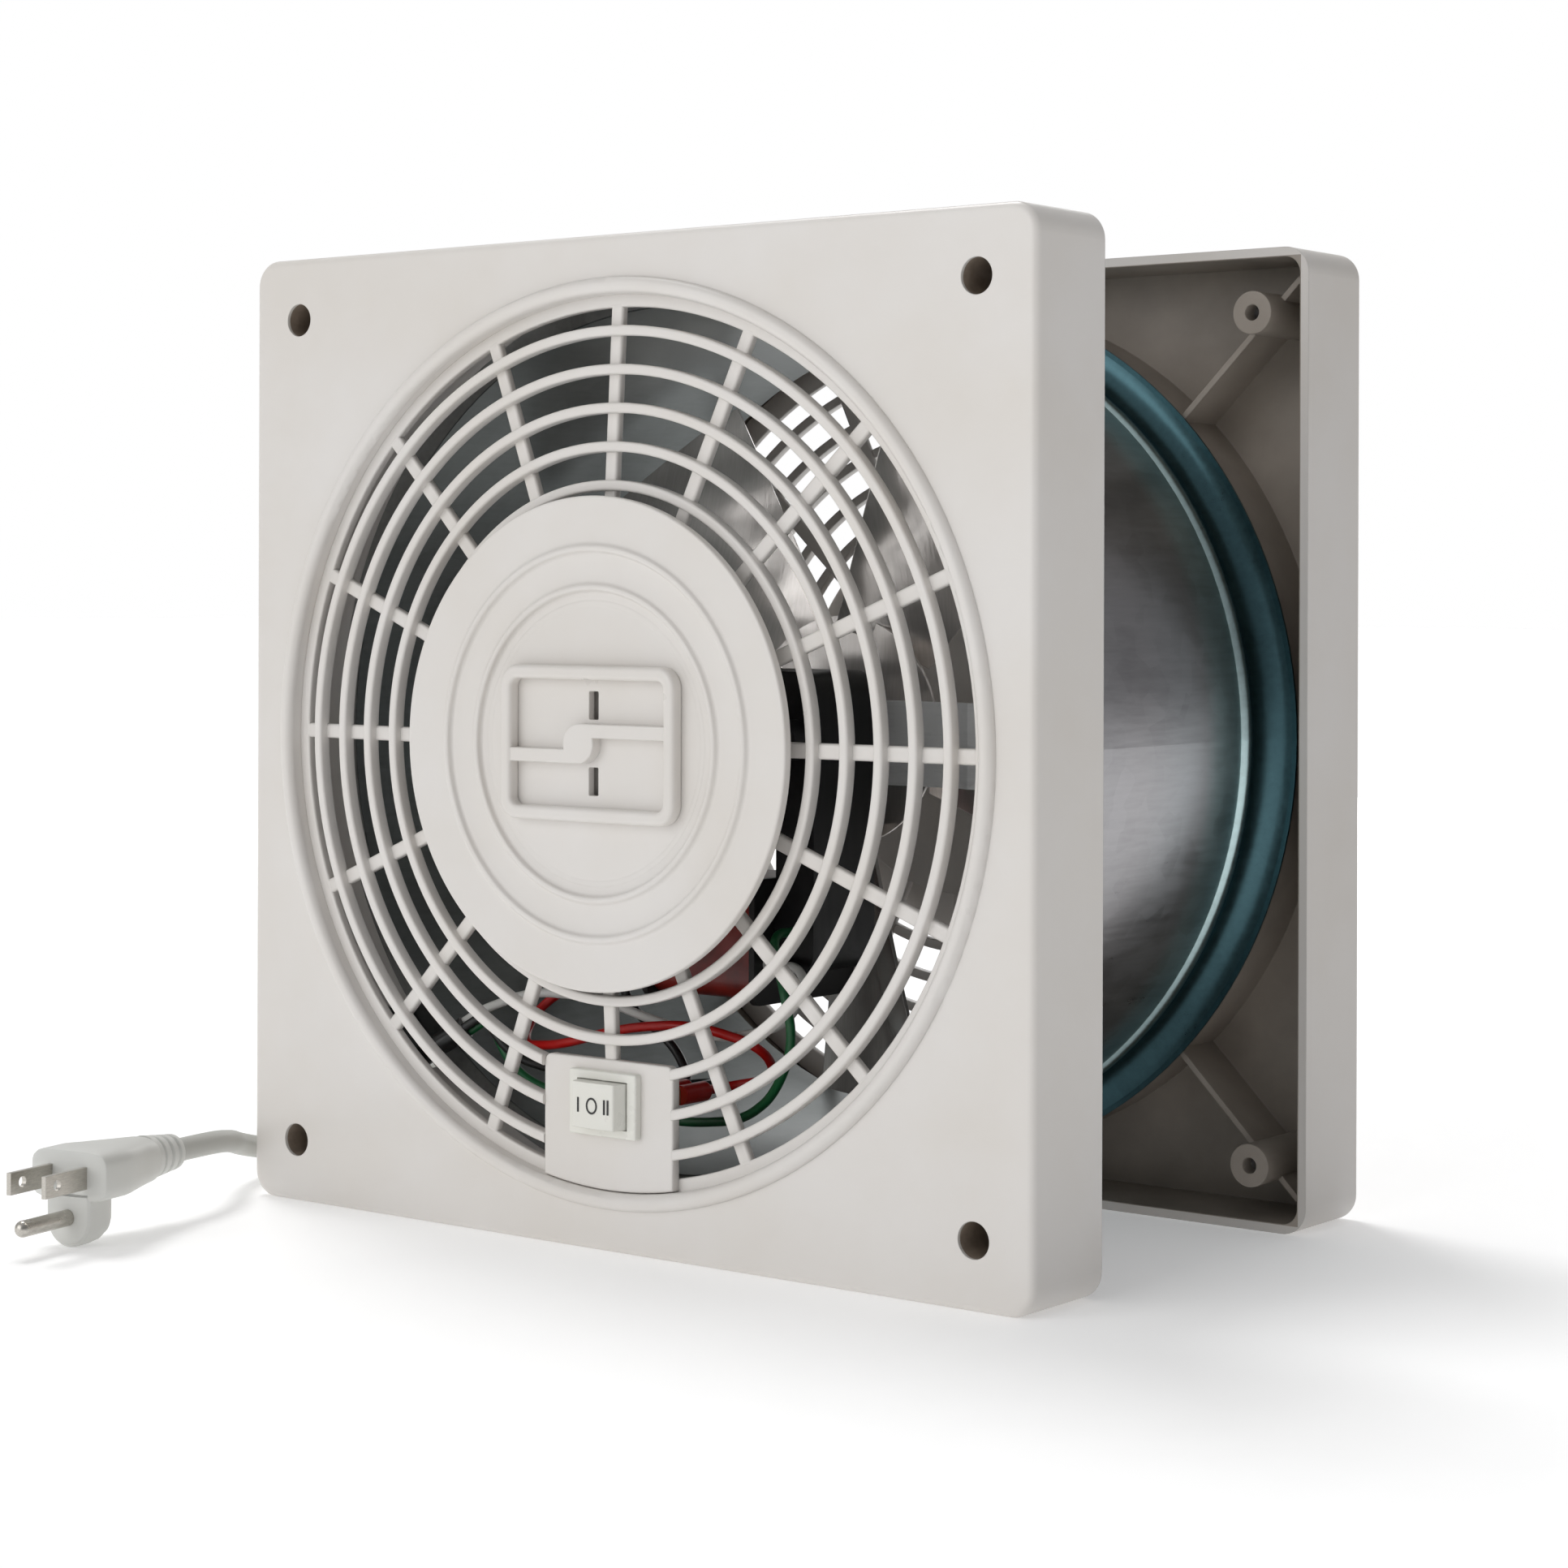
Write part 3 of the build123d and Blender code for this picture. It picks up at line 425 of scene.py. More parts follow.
WIRE_WHITE = insulated("wire_white", (0.78, 0.78, 0.75))
WIRE_GREEN = insulated("wire_green", (0.01, 0.14, 0.045))
CRIMP = insulated("crimp_red", (0.55, 0.015, 0.012), 0.35)
TIE = woven("tie_black", (0.03, 0.03, 0.03), 416.67)
INK = moulded("mark_dark", (0.035, 0.035, 0.035), 0.5)

CAD_MATERIALS = {
    "front_panel": ABS,
    "rear_panel": ABS_HOLLOW,
    "inner_sleeve": ZINC,
    "outer_sleeve": ZINC_OUTER,
    "front_flange_screws": SCREW,
    "motor_core": LAMINATIONS,
    "motor_coil": TAPE,
    "coil_end_plates": BOBBIN,
    "front_bearing_bridge": CASTING,
    "rear_bearing_bridge": CASTING,
    "front_bush": BRONZE,
    "rear_bush": BRONZE,
    "motor_screws": SCREW,
    "motor_strap": STRAP,
    "strap_screws": SCREW,
    "rotor": HUB,
    "motor_shaft": SHAFT,
    "impeller": BLADE,
    "impeller_hub": HUB,
    "switch_body": SWITCH,
    "switch_rocker": SWITCH,
    "switch_terminals": TAB,
    "crimp_sleeves": CRIMP,
    "line_wire": WIRE_BLACK,
    "red_wire": WIRE_RED,
    "black_wire": WIRE_BLACK,
    "white_wire": WIRE_WHITE,
    "green_wire": WIRE_GREEN,
    "inner_supply_lead": WIRE_BLACK,
    "cord_strain_relief": CORD,
    "cord_tie": TIE,
    "plug_blades": NICKEL,
    "plug_ground_pin": NICKEL,
}
for name, material in CAD_MATERIALS.items():
    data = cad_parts[name].data
    data.materials.clear()
    data.materials.append(material)


# ---- mesh helpers ----
def to_object(name, builder, material, body, replaced=()):
    """Turns a bmesh into a smooth-shaded piece that rides on a body, with its material."""
    data = bpy.data.meshes.new(name)
    bmesh.ops.recalc_face_normals(builder, faces=builder.faces)
    builder.to_mesh(data)
    builder.free()
    data.materials.append(material)
    data.polygons.foreach_set("use_smooth", [True] * len(data.polygons))
    data.set_sharp_from_angle(angle=radians(35))
    made = bpy.data.objects.new(name, data)
    scene.collection.objects.link(made)
    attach(made, body)
    if replaced:
        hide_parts(*replaced)
    return made


def rounded_profile(inner, outer, front, back, front_edge, back_edge, steps=4):
    """A rounded rectangle of radius and depth, as corner arcs."""
    corners = (
        (inner, front, front_edge, 180),
        (outer, front, front_edge, 270),
        (outer, back, back_edge, 0),
        (inner, back, back_edge, 90),
    )
    points = []
    for radius, depth, edge, start in corners:
        centre_r = radius + (edge if radius == inner else -edge)
        centre_d = depth + (edge if depth == front else -edge)
        for step in range(steps + 1):
            angle = radians(start + 90 * step / steps)
            points.append((centre_r + edge * cos(angle), centre_d + edge * sin(angle)))
    return points


def face_point(radius, angle, depth, side):
    """A point by radius and angle about the fan's axis; side FAR is the mirror image on the far panel."""
    y = FRONT_Y + depth
    return Vector((radius * cos(angle), y * side, AXIS_Z + radius * sin(angle)))


def add_ring(builder, profile, side, limits=None, segments=160):
    """Sweeps a profile round the axis. limits gives the start and end angle for a radius, for an open arc."""
    rows = []
    count = segments if limits is None else segments + 1
    for step in range(count):
        row = []
        for radius, depth in profile:
            low, high = (0, 2 * pi) if limits is None else limits(radius)
            angle = low + (high - low) * step / segments
            row.append(builder.verts.new(face_point(radius, angle, depth, side)))
        rows.append(row)
    size = len(profile)
    for step in range(segments):
        row, following = rows[step], rows[(step + 1) % count]
        for index in range(size):
            after = (index + 1) % size
            builder.faces.new((row[index], row[after], following[after], following[index]))
    if limits is not None:
        builder.faces.new(rows[0])
        builder.faces.new(list(reversed(rows[-1])))


def add_prism(builder, section, start, end, across, up):
    """A bar with a closed section of (across, up) points, from start to end."""
    ends = []
    for centre in (start, end):
        ends.append([builder.verts.new(centre + across * a + up * b) for a, b in section])
    size = len(section)
    for index in range(size):
        after = (index + 1) % size
        builder.faces.new((ends[0][index], ends[0][after], ends[1][after], ends[1][index]))
    builder.faces.new(ends[0])
    builder.faces.new(list(reversed(ends[1])))


def plate(name, outlines, front, back, edge, side=NEAR):
    """A flat plate with rounded edges from closed outlines of (x, z) points, an outer one and any holes."""
    data = bpy.data.curves.new(name, "CURVE")
    data.dimensions = "2D"
    data.fill_mode = "BOTH"
    data.extrude = (back - front) / 2 - edge
    data.bevel_depth = edge
    data.bevel_resolution = 3
    data.offset = -edge
    for outline in outlines:
        spline = data.splines.new("POLY")
        spline.points.add(len(outline) - 1)
        for point, (x, z) in zip(spline.points, outline):
            point.co = (x, z, 0, 1)
        spline.use_cyclic_u = True
    source = bpy.data.objects.new(name, data)
    scene.collection.objects.link(source)
    bpy.context.view_layer.update()
    mesh = bpy.data.meshes.new_from_object(source.evaluated_get(bpy.context.evaluated_depsgraph_get()))
    bpy.data.objects.remove(source)
    middle = (FRONT_Y + (front + back) / 2) * side
    turn = Matrix.Rotation(pi / 2, 4, "X")
    mesh.transform(Matrix.Translation((0, middle, 0)) @ turn)
    return mesh


def rounded_outline(width, height, corner, centre=(0, 0), steps=8):
    points = []
    for quarter, (sx, sz) in enumerate(((1, 1), (-1, 1), (-1, -1), (1, -1))):
        cx = centre[0] + sx * (width / 2 - corner)
        cz = centre[1] + sz * (height / 2 - corner)
        for step in range(steps + 1):
            angle = pi / 2 * (quarter + step / steps)
            points.append((cx + corner * cos(angle), cz + corner * sin(angle)))
    return points


def circle_outline(radius, steps, centre):
    angles = [2 * pi * step / steps for step in range(steps)]
    return [(centre[0] + radius * cos(angle), centre[1] + radius * sin(angle)) for angle in angles]


# ---- guards ----
RING_COUNT = 5
RING_FIRST = 0.0723
RING_PITCH = 0.0111
RING_WIDTH = 0.003
RING_DEPTH = 0.004
LAST_RING_FRONT = -0.0003
DOME_STEP = 0.00052
FLANGE_RADII = (0.125, 0.133)
FLANGE_DEPTHS = (0.0029, 0.0057)
HUB_RADII = (0.0005, 0.056)
HUB_DEPTHS = (-0.0016, 0.0028)
SPOKES = 16
SPOKE_WIDTH = 0.0044
SPOKE_THICKNESS = 0.0026
SPOKE_RADII = (0.052, 0.1258)
SPOKE_DEPTHS = (0.0002, 0.0043)
PAD_HALF = 0.0242
PAD_TOP = 0.0552
PAD_BOTTOM_RADIUS = 0.1283
PAD_DEPTH = 0.0033
PAD_CORNER = 0.0025
PAD_LAP = 0.0002
SWITCH_HOLE = (0.0218, 0.0158)
SWITCH_HEIGHT = 0.04275


def ring_front(inner):
    """The guard is domed: each ring stands a little in front of the one outside it."""
    last = RING_FIRST + (RING_COUNT - 1) * RING_PITCH
    return LAST_RING_FRONT - DOME_STEP * (last - inner) / RING_PITCH


def beside_pad(radius):
    """The start and end of a ring's arc from one side of the switch pad round to the other."""
    cut = asin((PAD_HALF - PAD_LAP) / radius)
    return -pi / 2 + cut, 1.5 * pi - cut


def spoke_section():
    """A spoke's (across, depth) section, with rounder edges at its front."""
    front, back = 0.0008, 0.0005
    section = []
    for x, y, edge, start in ((1, -1, front, 270), (1, 1, back, 0), (-1, 1, back, 90), (-1, -1, front, 180)):
        for step in range(4):
            angle = radians(start + 30 * step)
            across = x * (SPOKE_WIDTH / 2 - edge) + edge * cos(angle)
            section.append((across, y * (SPOKE_THICKNESS / 2 - edge) + edge * sin(angle)))
    return section


def add_spokes(builder, side, pad):
    """Spokes that run back from the hub plate to the flange. The lowest one stops at the switch pad."""
    section = spoke_section()
    inner, outer = SPOKE_RADII
    near_depth, far_depth = SPOKE_DEPTHS
    slope = (far_depth - near_depth) / (outer - inner)
    for spoke in range(SPOKES):
        angle = 2 * pi * spoke / SPOKES
        downward = spoke == 3 * SPOKES // 4
        reach = AXIS_Z - PAD_TOP + 0.0005 if pad and downward else outer
        start = face_point(inner, angle, near_depth, side)
        end = face_point(reach, angle, near_depth + slope * (reach - inner), side)
        across = Vector((-sin(angle), 0, cos(angle)))
        add_prism(builder, section, start, end, across, Vector((0, side, 0)))


def pad_outline():
    """The switch pad: its foot follows the flange and its upper corners are round."""
    half_arc = asin(PAD_HALF / PAD_BOTTOM_RADIUS)
    outline = []
    for step in range(17):
        angle = half_arc * (step / 8 - 1)
        outline.append((PAD_BOTTOM_RADIUS * sin(angle), AXIS_Z - PAD_BOTTOM_RADIUS * cos(angle)))
    for sign, start in ((1, 0), (-1, 90)):
        for step in range(7):
            angle = radians(start + 15 * step)
            x = sign * (PAD_HALF - PAD_CORNER) + PAD_CORNER * cos(angle)
            outline.append((x, PAD_TOP - PAD_CORNER + PAD_CORNER * sin(angle)))
    return outline


def add_guard(name, side, pad, replaced, body, material):
    """Rings and spokes between a hub plate and a flange, with the switch pad where pad says."""
    builder = bmesh.new()
    for ring in range(RING_COUNT):
        inner = RING_FIRST + ring * RING_PITCH
        front = ring_front(inner)
        profile = rounded_profile(inner, inner + RING_WIDTH, front, front + RING_DEPTH, 0.0008, 0.0004)
        meets_pad = pad and inner > AXIS_Z - PAD_TOP
        add_ring(builder, profile, side, beside_pad if meets_pad else None)
    add_ring(builder, rounded_profile(*FLANGE_RADII, *FLANGE_DEPTHS, 0.0006, 0.0004), side)
    add_ring(builder, rounded_profile(*HUB_RADII, *HUB_DEPTHS, 0.0004, 0.0004), side, segments=96)
    add_spokes(builder, side, pad)
    if pad:
        hole = rounded_outline(*SWITCH_HOLE, 0.0006, (0, SWITCH_HEIGHT), 2)
        builder.from_mesh(plate("pad", [pad_outline(), hole], 0.0, PAD_DEPTH, 0.0006))
    return to_object(name, builder, material, body, replaced)


add_guard("front_guard", NEAR, True, ("front_grille",), "front_unit", ABS)
add_guard("rear_guard", FAR, False, ("rear_grille",), "rear_unit", ABS_FAR)


# ---- seal in the collar's notch for the supply lead ----
SEAL_RADII = (0.1336, 0.1360)
SEAL_DEPTHS = (0.0083, 0.0247)
SEAL_ARC = (radians(219.85), radians(226.5))


def add_lead_seal():
    """Black foam strip that closes the notch beside the lead."""
    builder = bmesh.new()
    strip = rounded_profile(*SEAL_RADII, *SEAL_DEPTHS, 0.0006, 0.0006)
    add_ring(builder, strip, NEAR, lambda radius: SEAL_ARC, 16)
    return to_object("lead_seal", builder, BOBBIN, "front_unit", ())


add_lead_seal()


# ---- centre covers ----
DISC_RADIUS = 0.0707
DISC_SKIN = 0.0024
FACE_RADIUS = 0.0408
FACE_DEPTH = -0.0066
FACE_LAP = 0.0018
RIM_DEPTH = -0.009
BEAD_RADII = (0.0446, 0.0558)
BEAD_LEVELS = (-0.0067, -0.0074)
BEAD_PROFILE = ((-0.0008, -0.0016), (0.0006, -0.0017), (0.0014, -0.0004))
SLOT_SIZE = (0.0036, 0.0081)
SLOT_OFFSET = 0.01085
FRAME_FRONT = -0.0107
FRAME_SIZE = (0.0653, 0.0445)
FRAME_WALL = 0.004
GRIP_FRONT = -0.0102
GRIP_X = -0.003
GRIP_RADIUS = 0.0057
GRIP_RIB = 0.0040
POST_CIRCLE = 0.036
POST_RADIUS = 0.003


def soften(points, edge, steps=4):
    """A closed outline with every corner rounded by an arc of about this radius."""
    made = []
    count = len(points)
    for index in range(count):
        before, corner, after = (Vector(points[(index + shift) % count]) for shift in (-1, 0, 1))
        run_in, run_out = before - corner, after - corner
        reach = min(edge, 0.45 * run_in.length, 0.45 * run_out.length)
        start = corner + run_in.normalized() * reach
        end = corner + run_out.normalized() * reach
        for step in range(steps + 1):
            share = step / steps
            made.append(start * (1 - share) ** 2 + corner * 2 * share * (1 - share) + end * share**2)
    return [tuple(point) for point in made]


def grip_outline():
    """A round boss with one rib running right along its top and one running left along its bottom."""
    end = FRAME_SIZE[0] / 2 - FRAME_WALL / 2
    inner = GRIP_RADIUS - GRIP_RIB
    points = [(end, inner), (end, GRIP_RADIUS)]
    lean = asin(inner / GRIP_RADIUS)
    for start, stop in ((pi / 2, pi + lean), (1.5 * pi, 2 * pi + lean)):
        points += [
            (GRIP_X + GRIP_RADIUS * cos(angle), GRIP_RADIUS * sin(angle))
            for angle in (start + (stop - start) * step / 16 for step in range(17))
        ]
        if stop < 1.5 * pi:
            points += [(-end, -inner), (-end, -GRIP_RADIUS)]
    return [(x, AXIS_Z + z) for x, z in points]


def disc_profile():
    """The cover's lathe profile round its flat face: two raised beads, then the rim and the back."""
    (first_bead, second_bead), second_level = BEAD_RADII, BEAD_LEVELS[1]
    start = FACE_RADIUS - FACE_LAP
    profile = [(start, FACE_DEPTH), (first_bead - 0.0012, FACE_DEPTH)]
    for radius, level in zip(BEAD_RADII, BEAD_LEVELS):
        profile += [(radius + out, level + ahead) for out, ahead in BEAD_PROFILE]
        if radius == first_bead:
            profile.append((second_bead - 0.0013, second_level - 0.0001))
    profile += [
        (DISC_RADIUS, RIM_DEPTH),
        (DISC_RADIUS, RIM_DEPTH + 0.0032),
        (second_bead, RIM_DEPTH + 0.0038),
        (start, FACE_DEPTH + DISC_SKIN),
    ]
    return soften(profile, 0.0008)


def add_disc(name, side, replaced, body, material):
    """Beaded cover with a slotted flat face, a raised frame round an offset grip, and four posts behind."""
    builder = bmesh.new()
    add_ring(builder, disc_profile(), side, segments=192)
    centre = (0, AXIS_Z)
    back = FACE_DEPTH + DISC_SKIN
    slots = [rounded_outline(*SLOT_SIZE, 0.0003, (0, AXIS_Z + z), 1) for z in (SLOT_OFFSET, -SLOT_OFFSET)]
    face = [circle_outline(FACE_RADIUS, 96, centre), *slots]
    builder.from_mesh(plate("face", face, FACE_DEPTH + 0.00002, back, 0.0001, side))
    outer = rounded_outline(*FRAME_SIZE, 0.006, centre, 8)
    inner = rounded_outline(FRAME_SIZE[0] - 2 * FRAME_WALL, FRAME_SIZE[1] - 2 * FRAME_WALL, 0.0025, centre, 6)
    builder.from_mesh(plate("frame", [outer, inner], FRAME_FRONT, FACE_DEPTH + 0.0004, 0.0012, side))
    builder.from_mesh(plate("grip", [grip_outline()], GRIP_FRONT, FACE_DEPTH + 0.0004, 0.0004, side))
    for turn in range(4):
        angle = pi / 4 + turn * pi / 2
        spot = (POST_CIRCLE * cos(angle), AXIS_Z + POST_CIRCLE * sin(angle))
        post = [circle_outline(POST_RADIUS, 24, spot)]
        builder.from_mesh(plate("post", post, back - 0.0002, HUB_DEPTHS[0], 0.0001, side))
    return to_object(name, builder, material, body, replaced)


add_disc("front_cover", NEAR, ("front_disc",), "front_unit", ABS)
add_disc("rear_cover", FAR, ("rear_disc",), "rear_unit", ABS_FAR)


# ---- supply cord ----
CORD_RADIUS = 0.0035
RELIEF_TIP = Vector((-0.16438, -0.05062, 0.025))
GLAND_WAY = Vector((-1, 1, 0)).normalized()
PLUG_TURN = radians(10)
PLUG_WAY = Vector((sin(PLUG_TURN), -cos(PLUG_TURN), 0))
PLUG_ACROSS = Vector((cos(PLUG_TURN), sin(PLUG_TURN), 0))
PLUG_LEVEL = 0.0205
PLUG_TAIL = Vector((-0.134, -0.1335, PLUG_LEVEL))
COIL_CENTRE = Vector((-0.209, 0.064, 0))
COIL_POINTS = 16
COIL_TURNS = 5.5
LOWER_TURNS = 3.1
CLIMB_TURNS = 0.35
LOWER_RADII = (0.0525, 0.0315)
UPPER_RADII = (0.035, 0.049)
LOWER_LEVEL = 0.0037
UPPER_LEVEL = 0.0102


def between(ends, share):
    return ends[0] + (ends[1] - ends[0]) * share


def coil_points():
    """A spiral in on the floor, a climb, and a spiral out over it."""
    points = []
    count = int(COIL_TURNS * COIL_POINTS)
    for index in range(count + 1):
        turns = COIL_TURNS * index / count
        climbed = turns - LOWER_TURNS
        if climbed < 0:
            radius = between(LOWER_RADII, turns / LOWER_TURNS)
            height = LOWER_LEVEL
        elif climbed < CLIMB_TURNS:
            share = climbed / CLIMB_TURNS
            ease = share * share * (3 - 2 * share)
            radius = between((LOWER_RADII[1], UPPER_RADII[0]), ease)
            height = between((LOWER_LEVEL, UPPER_LEVEL), ease)
        else:
            radius = between(UPPER_RADII, (climbed - CLIMB_TURNS) / (COIL_TURNS - LOWER_TURNS - CLIMB_TURNS))
            height = UPPER_LEVEL
        angle = pi - 2 * pi * turns
        points.append(COIL_CENTRE + Vector((radius * cos(angle), radius * sin(angle), height)))
    return points


def supply_cord():
    """The cord from its gland down to the floor, round its coil and along the floor to the plug."""
    near = [
        RELIEF_TIP,
        RELIEF_TIP + GLAND_WAY * 0.017,
        Vector((-0.198, -0.019, 0.019)),
        Vector((-0.222, 0.001, 0.010)),
        Vector((-0.244, 0.022, 0.005)),
        Vector((-0.259, 0.046, 0.0037)),
    ]
    far = [
        Vector((-0.1605, 0.055, 0.010)),
        Vector((-0.161, 0.036, 0.008)),
        Vector((-0.165, 0.012, 0.004)),
        Vector((-0.171, -0.011, 0.0036)),
        Vector((-0.1725, -0.034, 0.0036)),
        Vector((-0.1695, -0.058, 0.0075)),
        Vector((-0.161, -0.081, 0.013)),
        Vector((-0.1465, -0.0985, 0.018)),
        PLUG_TAIL - PLUG_WAY * 0.018,
        PLUG_TAIL,
    ]
    points = near + coil_points() + far
    data = bpy.data.curves.new("supply_cord", "CURVE")
    data.dimensions = "3D"
    data.resolution_u = 8
    # With a bevel of 1, the radius of each point is the cord's radius in metres.
    data.bevel_depth = 1.0
    data.bevel_resolution = 5
    data.use_fill_caps = True
    spline = data.splines.new("NURBS")
    spline.points.add(len(points) - 1)
    for point, spot in zip(spline.points, points):
        point.co = (*spot, 1)
        point.radius = CORD_RADIUS
    spline.order_u = 3
    spline.use_endpoint_u = True
    made = bpy.data.objects.new("supply_cord", data)
    scene.collection.objects.link(made)
    data.materials.append(CORD)
    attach(made, "front_unit")
    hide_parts("supply_cord_near", "supply_cord_far", "cord_coil")
    return made


cord = supply_cord()


# ---- plug ----
HEAD_LENGTH = 0.034
SLEEVE_LENGTH = 0.014
# The head's sections: distance from the face, half width, half height, middle's height, squareness.
HEAD_STATIONS = (
    (0.0, 0.0125, 0.0060, 0.02075, 5.0),
    (-0.0006, 0.0136, 0.0070, 0.02075, 5.0),
    (-0.0016, 0.0140, 0.00725, 0.02075, 5.0),
    (-0.0110, 0.0140, 0.00725, 0.02075, 5.0),
    (-0.0140, 0.0134, 0.00720, 0.0207, 4.6),
    (-0.0200, 0.0112, 0.0071, 0.0206, 4.0),
    (-0.0270, 0.0089, 0.0070, PLUG_LEVEL, 3.2),
    (-0.0325, 0.0078, 0.0067, PLUG_LEVEL, 2.8),
    (-HEAD_LENGTH, 0.0070, 0.0060, PLUG_LEVEL, 2.6),
)
# The lobe's sections: distance from the face, radius, and how far its foot stands off the floor.
LOBE_STATIONS = (
    (0.0, 0.0072, 0.0),
    (-0.0007, 0.0079, 0.0),
    (-0.0018, 0.0080, 0.0),
    (-0.0060, 0.0080, 0.0),
    (-0.0085, 0.0078, 0.0012),
    (-0.0105, 0.0072, 0.0036),
    (-0.0120, 0.0062, 0.0072),
    (-0.0126, 0.0050, 0.0110),
)
LOBE_MIDDLE = 0.0080
LOBE_TOP = 0.0155
GROOVES = 3.6
GROOVE_SHARE = 0.38
GROOVE_DEPTH = 0.00085


def plug_frame(along, across, up):
    """A point of the plug: along the blades from its face, across, and up from the floor."""
    origin = PLUG_TAIL + PLUG_WAY * (HEAD_LENGTH + SLEEVE_LENGTH)
    return Vector((origin.x, origin.y, 0)) + PLUG_WAY * along + PLUG_ACROSS * across + Vector((0, 0, up))


def loft_sections(builder, sections):
    """A closed skin through sections that have the same number of points."""
    rows = [[builder.verts.new(point) for point in section] for section in sections]
    size = len(rows[0])
    for row, following in zip(rows, rows[1:]):
        for index in range(size):
            after = (index + 1) % size
            builder.faces.new((row[index], row[after], following[after], following[index]))
    builder.faces.new(rows[0])
    builder.faces.new(list(reversed(rows[-1])))


def squircle(along, half_width, half_height, centre_up, power, steps=48):
    """A section of the plug between an ellipse and a rectangle: the higher the power, the squarer."""
    points = []
    for step in range(steps):
        angle = 2 * pi * step / steps
        c, s = cos(angle), sin(angle)
        reach = (abs(c) ** power + abs(s) ** power) ** (-1 / power)
        points.append(plug_frame(along, half_width * reach * c, centre_up + half_height * reach * s))
    return points


def lobe_section(along, radius, low, steps=32):
    """A U open at the top. Its foot is cut off at low, with a slight slope that keeps the points apart."""
    section = []
    for step in range(steps + 1):
        angle = pi + pi * step / steps
        foot = low + 0.0002 * step / steps
        section.append(plug_frame(along, radius * cos(angle), max(LOBE_MIDDLE + radius * sin(angle), foot)))
    section.append(plug_frame(along, radius, LOBE_TOP))
    section.append(plug_frame(along, -radius, LOBE_TOP))
    return section


def add_plug_body():
    """Moulded head over the live blades, tapering to the relief, with the earth pin's round lobe below."""
    builder = bmesh.new()
    loft_sections(builder, [squircle(*station) for station in HEAD_STATIONS])
    loft_sections(builder, [lobe_section(*station) for station in LOBE_STATIONS])
    return to_object("plug_moulding", builder, PLUG, "front_unit", ("plug_body",))


def sleeve_radius(share):
    """The relief's radius at a share of its length: a taper, with grooves and a rounded end."""
    radius = 0.0068 - 0.0015 * share
    groove = share * GROOVES % 1.0 - (1 - GROOVE_SHARE)
    if 0.2 < share < 0.97 and groove > 0:
        radius -= GROOVE_DEPTH * sin(pi * groove / GROOVE_SHARE)
    if share > 0.97:
        radius -= 0.0006 * (share - 0.97) / 0.03
    return radius


def add_plug_relief(steps=84, corners=40):
    """Ribbed sleeve where the cord enters the plug."""
    builder = bmesh.new()
    sections = []
    for step in range(steps + 1):
        share = step / steps
        radius = sleeve_radius(share)
        along = -HEAD_LENGTH - SLEEVE_LENGTH * share
        turns = [2 * pi * turn / corners for turn in range(corners)]
        sections.append([plug_frame(along, radius * cos(a), PLUG_LEVEL + radius * sin(a)) for a in turns])
    loft_sections(builder, sections)
    return to_object("plug_sleeve", builder, PLUG, "front_unit", ("plug_strain_relief",))


plug_body = add_plug_body()
plug_relief = add_plug_relief()


# ---- switch marks ----
STROKE = 0.00055
BAR_HEIGHT = 0.0042
BAR_PLACES = (-0.0052, 0.0046, 0.0059)
CIRCLE_RADIUS = 0.0021
CIRCLE_STEPS = 40
ROCKER_HALF = 0.0088
ROCKER_DISH = 0.0004


def add_marks():
    """Generic on and off marks, inlaid in the rocker's face: a bar, a circle and two bars."""
    low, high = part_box("switch_rocker")
    face_y = low.y - 0.00012
    centre_z = (low.z + high.z) / 2
    builder = bmesh.new()
    size = Matrix.Diagonal((STROKE, 0.0005, BAR_HEIGHT, 1))
    for x in BAR_PLACES:
        spot = Vector((x, face_y + 0.0002 + (x / ROCKER_HALF) ** 2 * ROCKER_DISH, centre_z))
        bmesh.ops.create_cube(builder, size=1.0, matrix=Matrix.Translation(spot) @ size)
    rows = []
    for step in range(CIRCLE_STEPS):
        angle = 2 * pi * step / CIRCLE_STEPS
        row = []
        for radius in (CIRCLE_RADIUS - STROKE / 2, CIRCLE_RADIUS + STROKE / 2):
            x, z = 0.85 * radius * cos(angle), centre_z + radius * sin(angle)
            row += [builder.verts.new((x, face_y + depth, z)) for depth in (-0.00005, 0.00045)]
        rows.append(row)
    for step, row in enumerate(rows):
        following = rows[(step + 1) % CIRCLE_STEPS]
        for a, b in ((0, 1), (1, 3), (3, 2), (2, 0)):
            builder.faces.new((row[a], row[b], following[b], following[a]))
    return to_object("switch_marks", builder, INK, "rocker_unit", ())


add_marks()


# ---- floor, light and background ----
def add_floor():
    """Plain white paper, a little bright of itself, so that it meets the background without an edge."""
    builder = bmesh.new()
    bmesh.ops.create_grid(builder, x_segments=1, y_segments=1, size=14)
    data = bpy.data.meshes.new("floor")
    builder.to_mesh(data)
    builder.free()
    floor = bpy.data.objects.new("floor", data)
    scene.collection.objects.link(floor)
    paper = shader("floor_paper", (0.9, 0.9, 0.9), 0.9, specular=0.1)
    grain = noise(paper, place(paper), 60.0, 2.0)
    color_by(paper, grain, [(0.3, (0.885, 0.885, 0.885)), (0.7, (0.9, 0.9, 0.9))])
    principled = paper.node_tree.nodes["Principled BSDF"]
    principled.inputs["Emission Color"].default_value = (1, 1, 1, 1)
    principled.inputs["Emission Strength"].default_value = 0.26
    data.materials.append(paper)


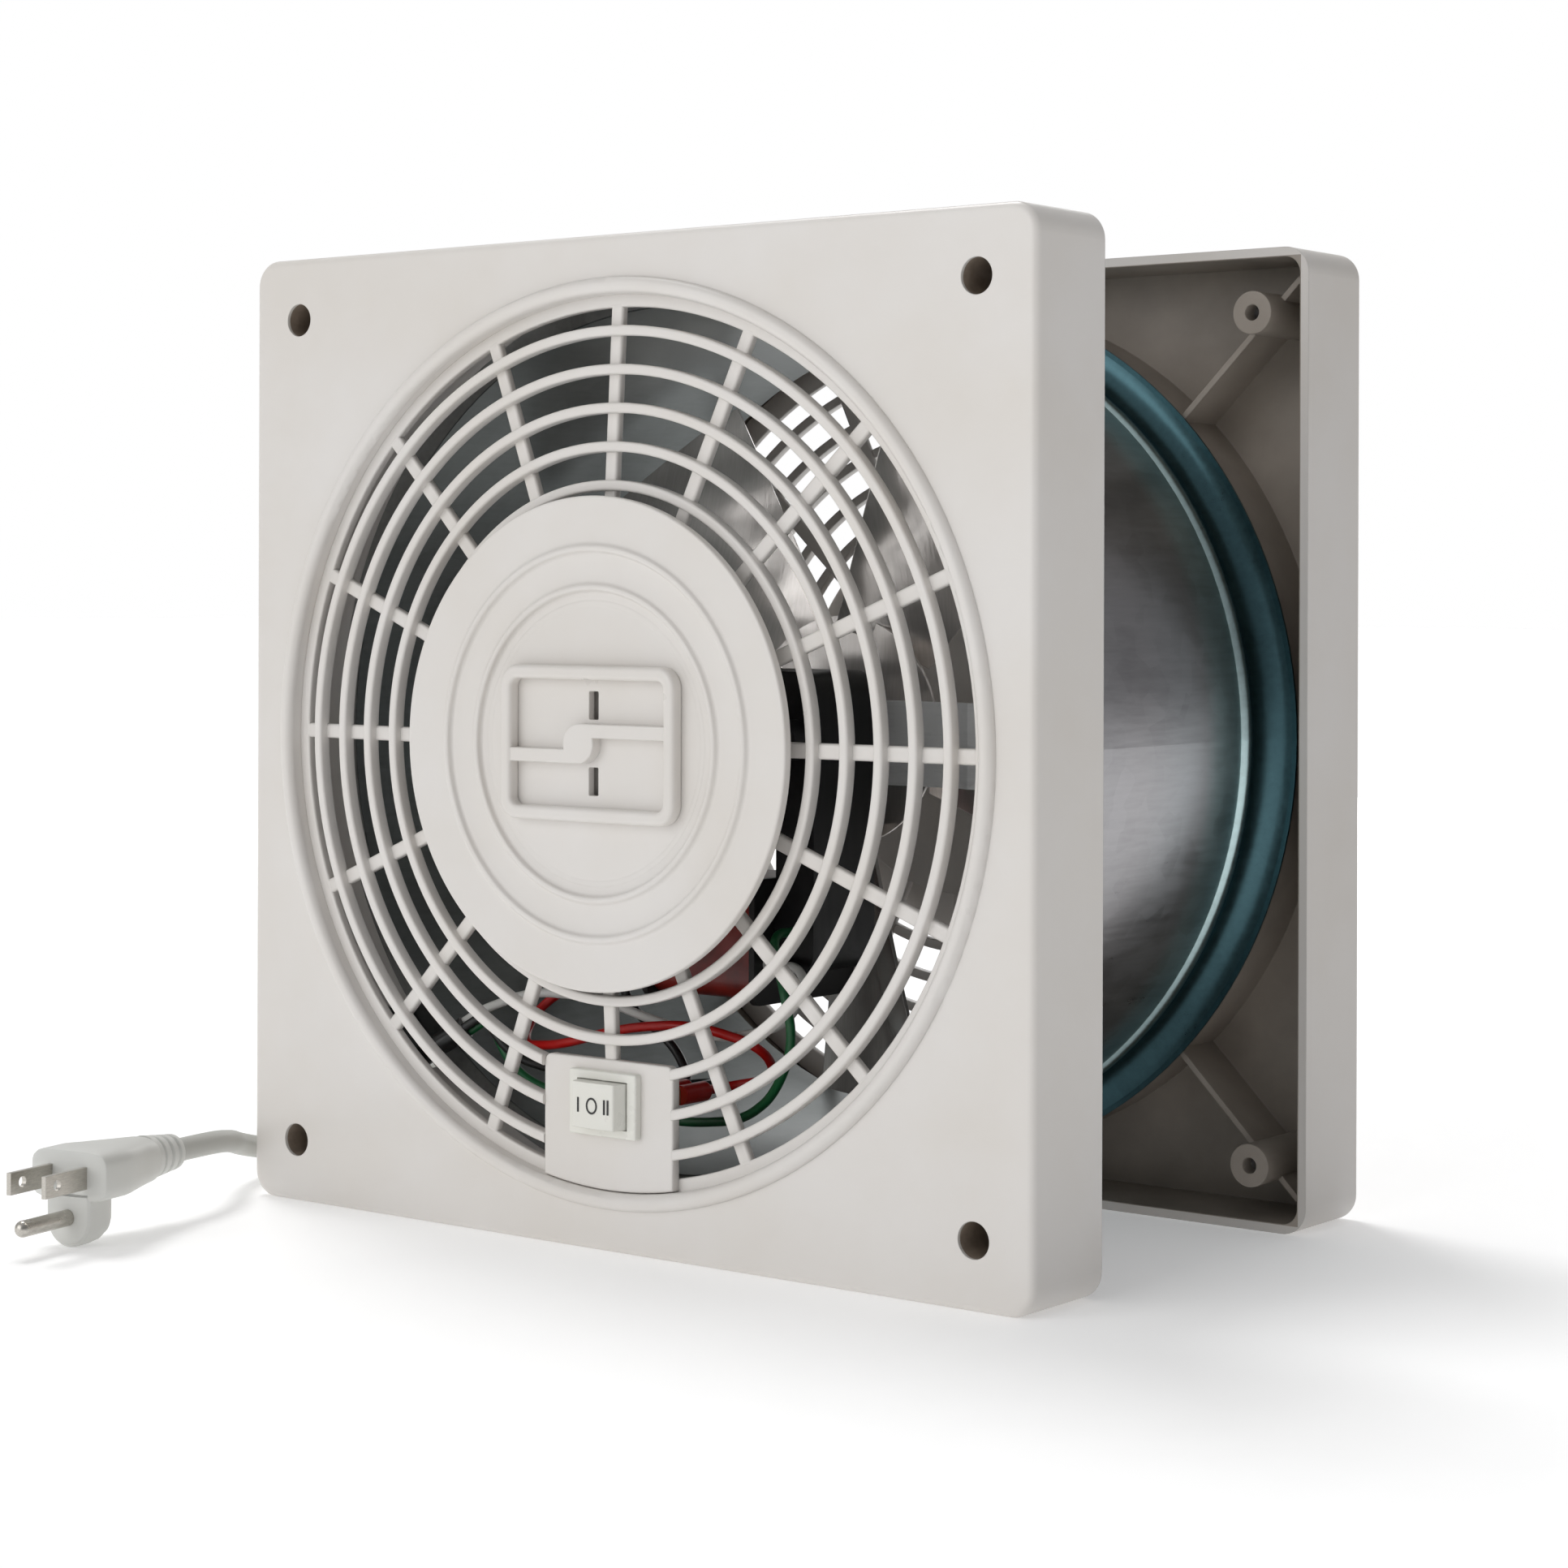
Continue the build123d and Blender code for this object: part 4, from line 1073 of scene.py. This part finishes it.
def add_world():
    """White for the camera. Surfaces see a room that is bright at the upper left and grey opposite."""
    world = bpy.data.worlds.new("studio")
    world.use_nodes = True
    scene.world = world
    world.node_tree.nodes.clear()
    spot = node(world, "ShaderNodeTexCoord")
    side = node(world, "ShaderNodeVectorMath")
    side.operation = "DOT_PRODUCT"
    feed(world, side.inputs[0], spot.outputs["Generated"])
    feed(world, side.inputs[1], (-0.80, -0.10, 0.59))
    half = node(world, "ShaderNodeMapRange", Value=side.outputs["Value"], From_Min=-1)
    tones = ramp(world, half.outputs["Result"], [(0.25, (0.34, 0.34, 0.35)), (0.9, (1, 1, 1))])
    room = node(world, "ShaderNodeBackground", Color=tones, Strength=0.56)
    plain = node(world, "ShaderNodeBackground", Color=(1, 1, 1, 1), Strength=1.0)
    rays = node(world, "ShaderNodeLightPath")
    mix = node(world, "ShaderNodeMixShader", Fac=rays.outputs["Is Camera Ray"])
    feed(world, mix.inputs[1], room.outputs["Background"])
    feed(world, mix.inputs[2], plain.outputs["Background"])
    node(world, "ShaderNodeOutputWorld", Surface=mix.outputs["Shader"])


def add_sun(name, towards, strength, spread):
    """Even light from far away. towards points from the object to the light."""
    data = bpy.data.lights.new(name, "SUN")
    data.energy = strength
    data.angle = radians(spread)
    light = bpy.data.objects.new(name, data)
    light.rotation_euler = Vector(towards).to_track_quat("Z", "Y").to_euler()
    scene.collection.objects.link(light)


def add_area(name, spot, target, size, power):
    """A soft panel of light at a spot, turned to its target."""
    data = bpy.data.lights.new(name, "AREA")
    data.shape = "RECTANGLE"
    data.size, data.size_y = size
    data.energy = power
    light = bpy.data.objects.new(name, data)
    light.location = spot
    light.rotation_euler = (Vector(target) - Vector(spot)).to_track_quat("-Z", "Y").to_euler()
    scene.collection.objects.link(light)


add_floor()
add_world()
add_sun("key", (-0.44, 0.20, 0.875), 1.15, 20)
add_sun("front", (-0.25, -0.90, 0.35), 0.82, 50)
add_area("behind", (-0.5, 1.9, 0.5), (0, 0, AXIS_Z), (1.6, 1.2), 9)

bpy.context.view_layer.update()
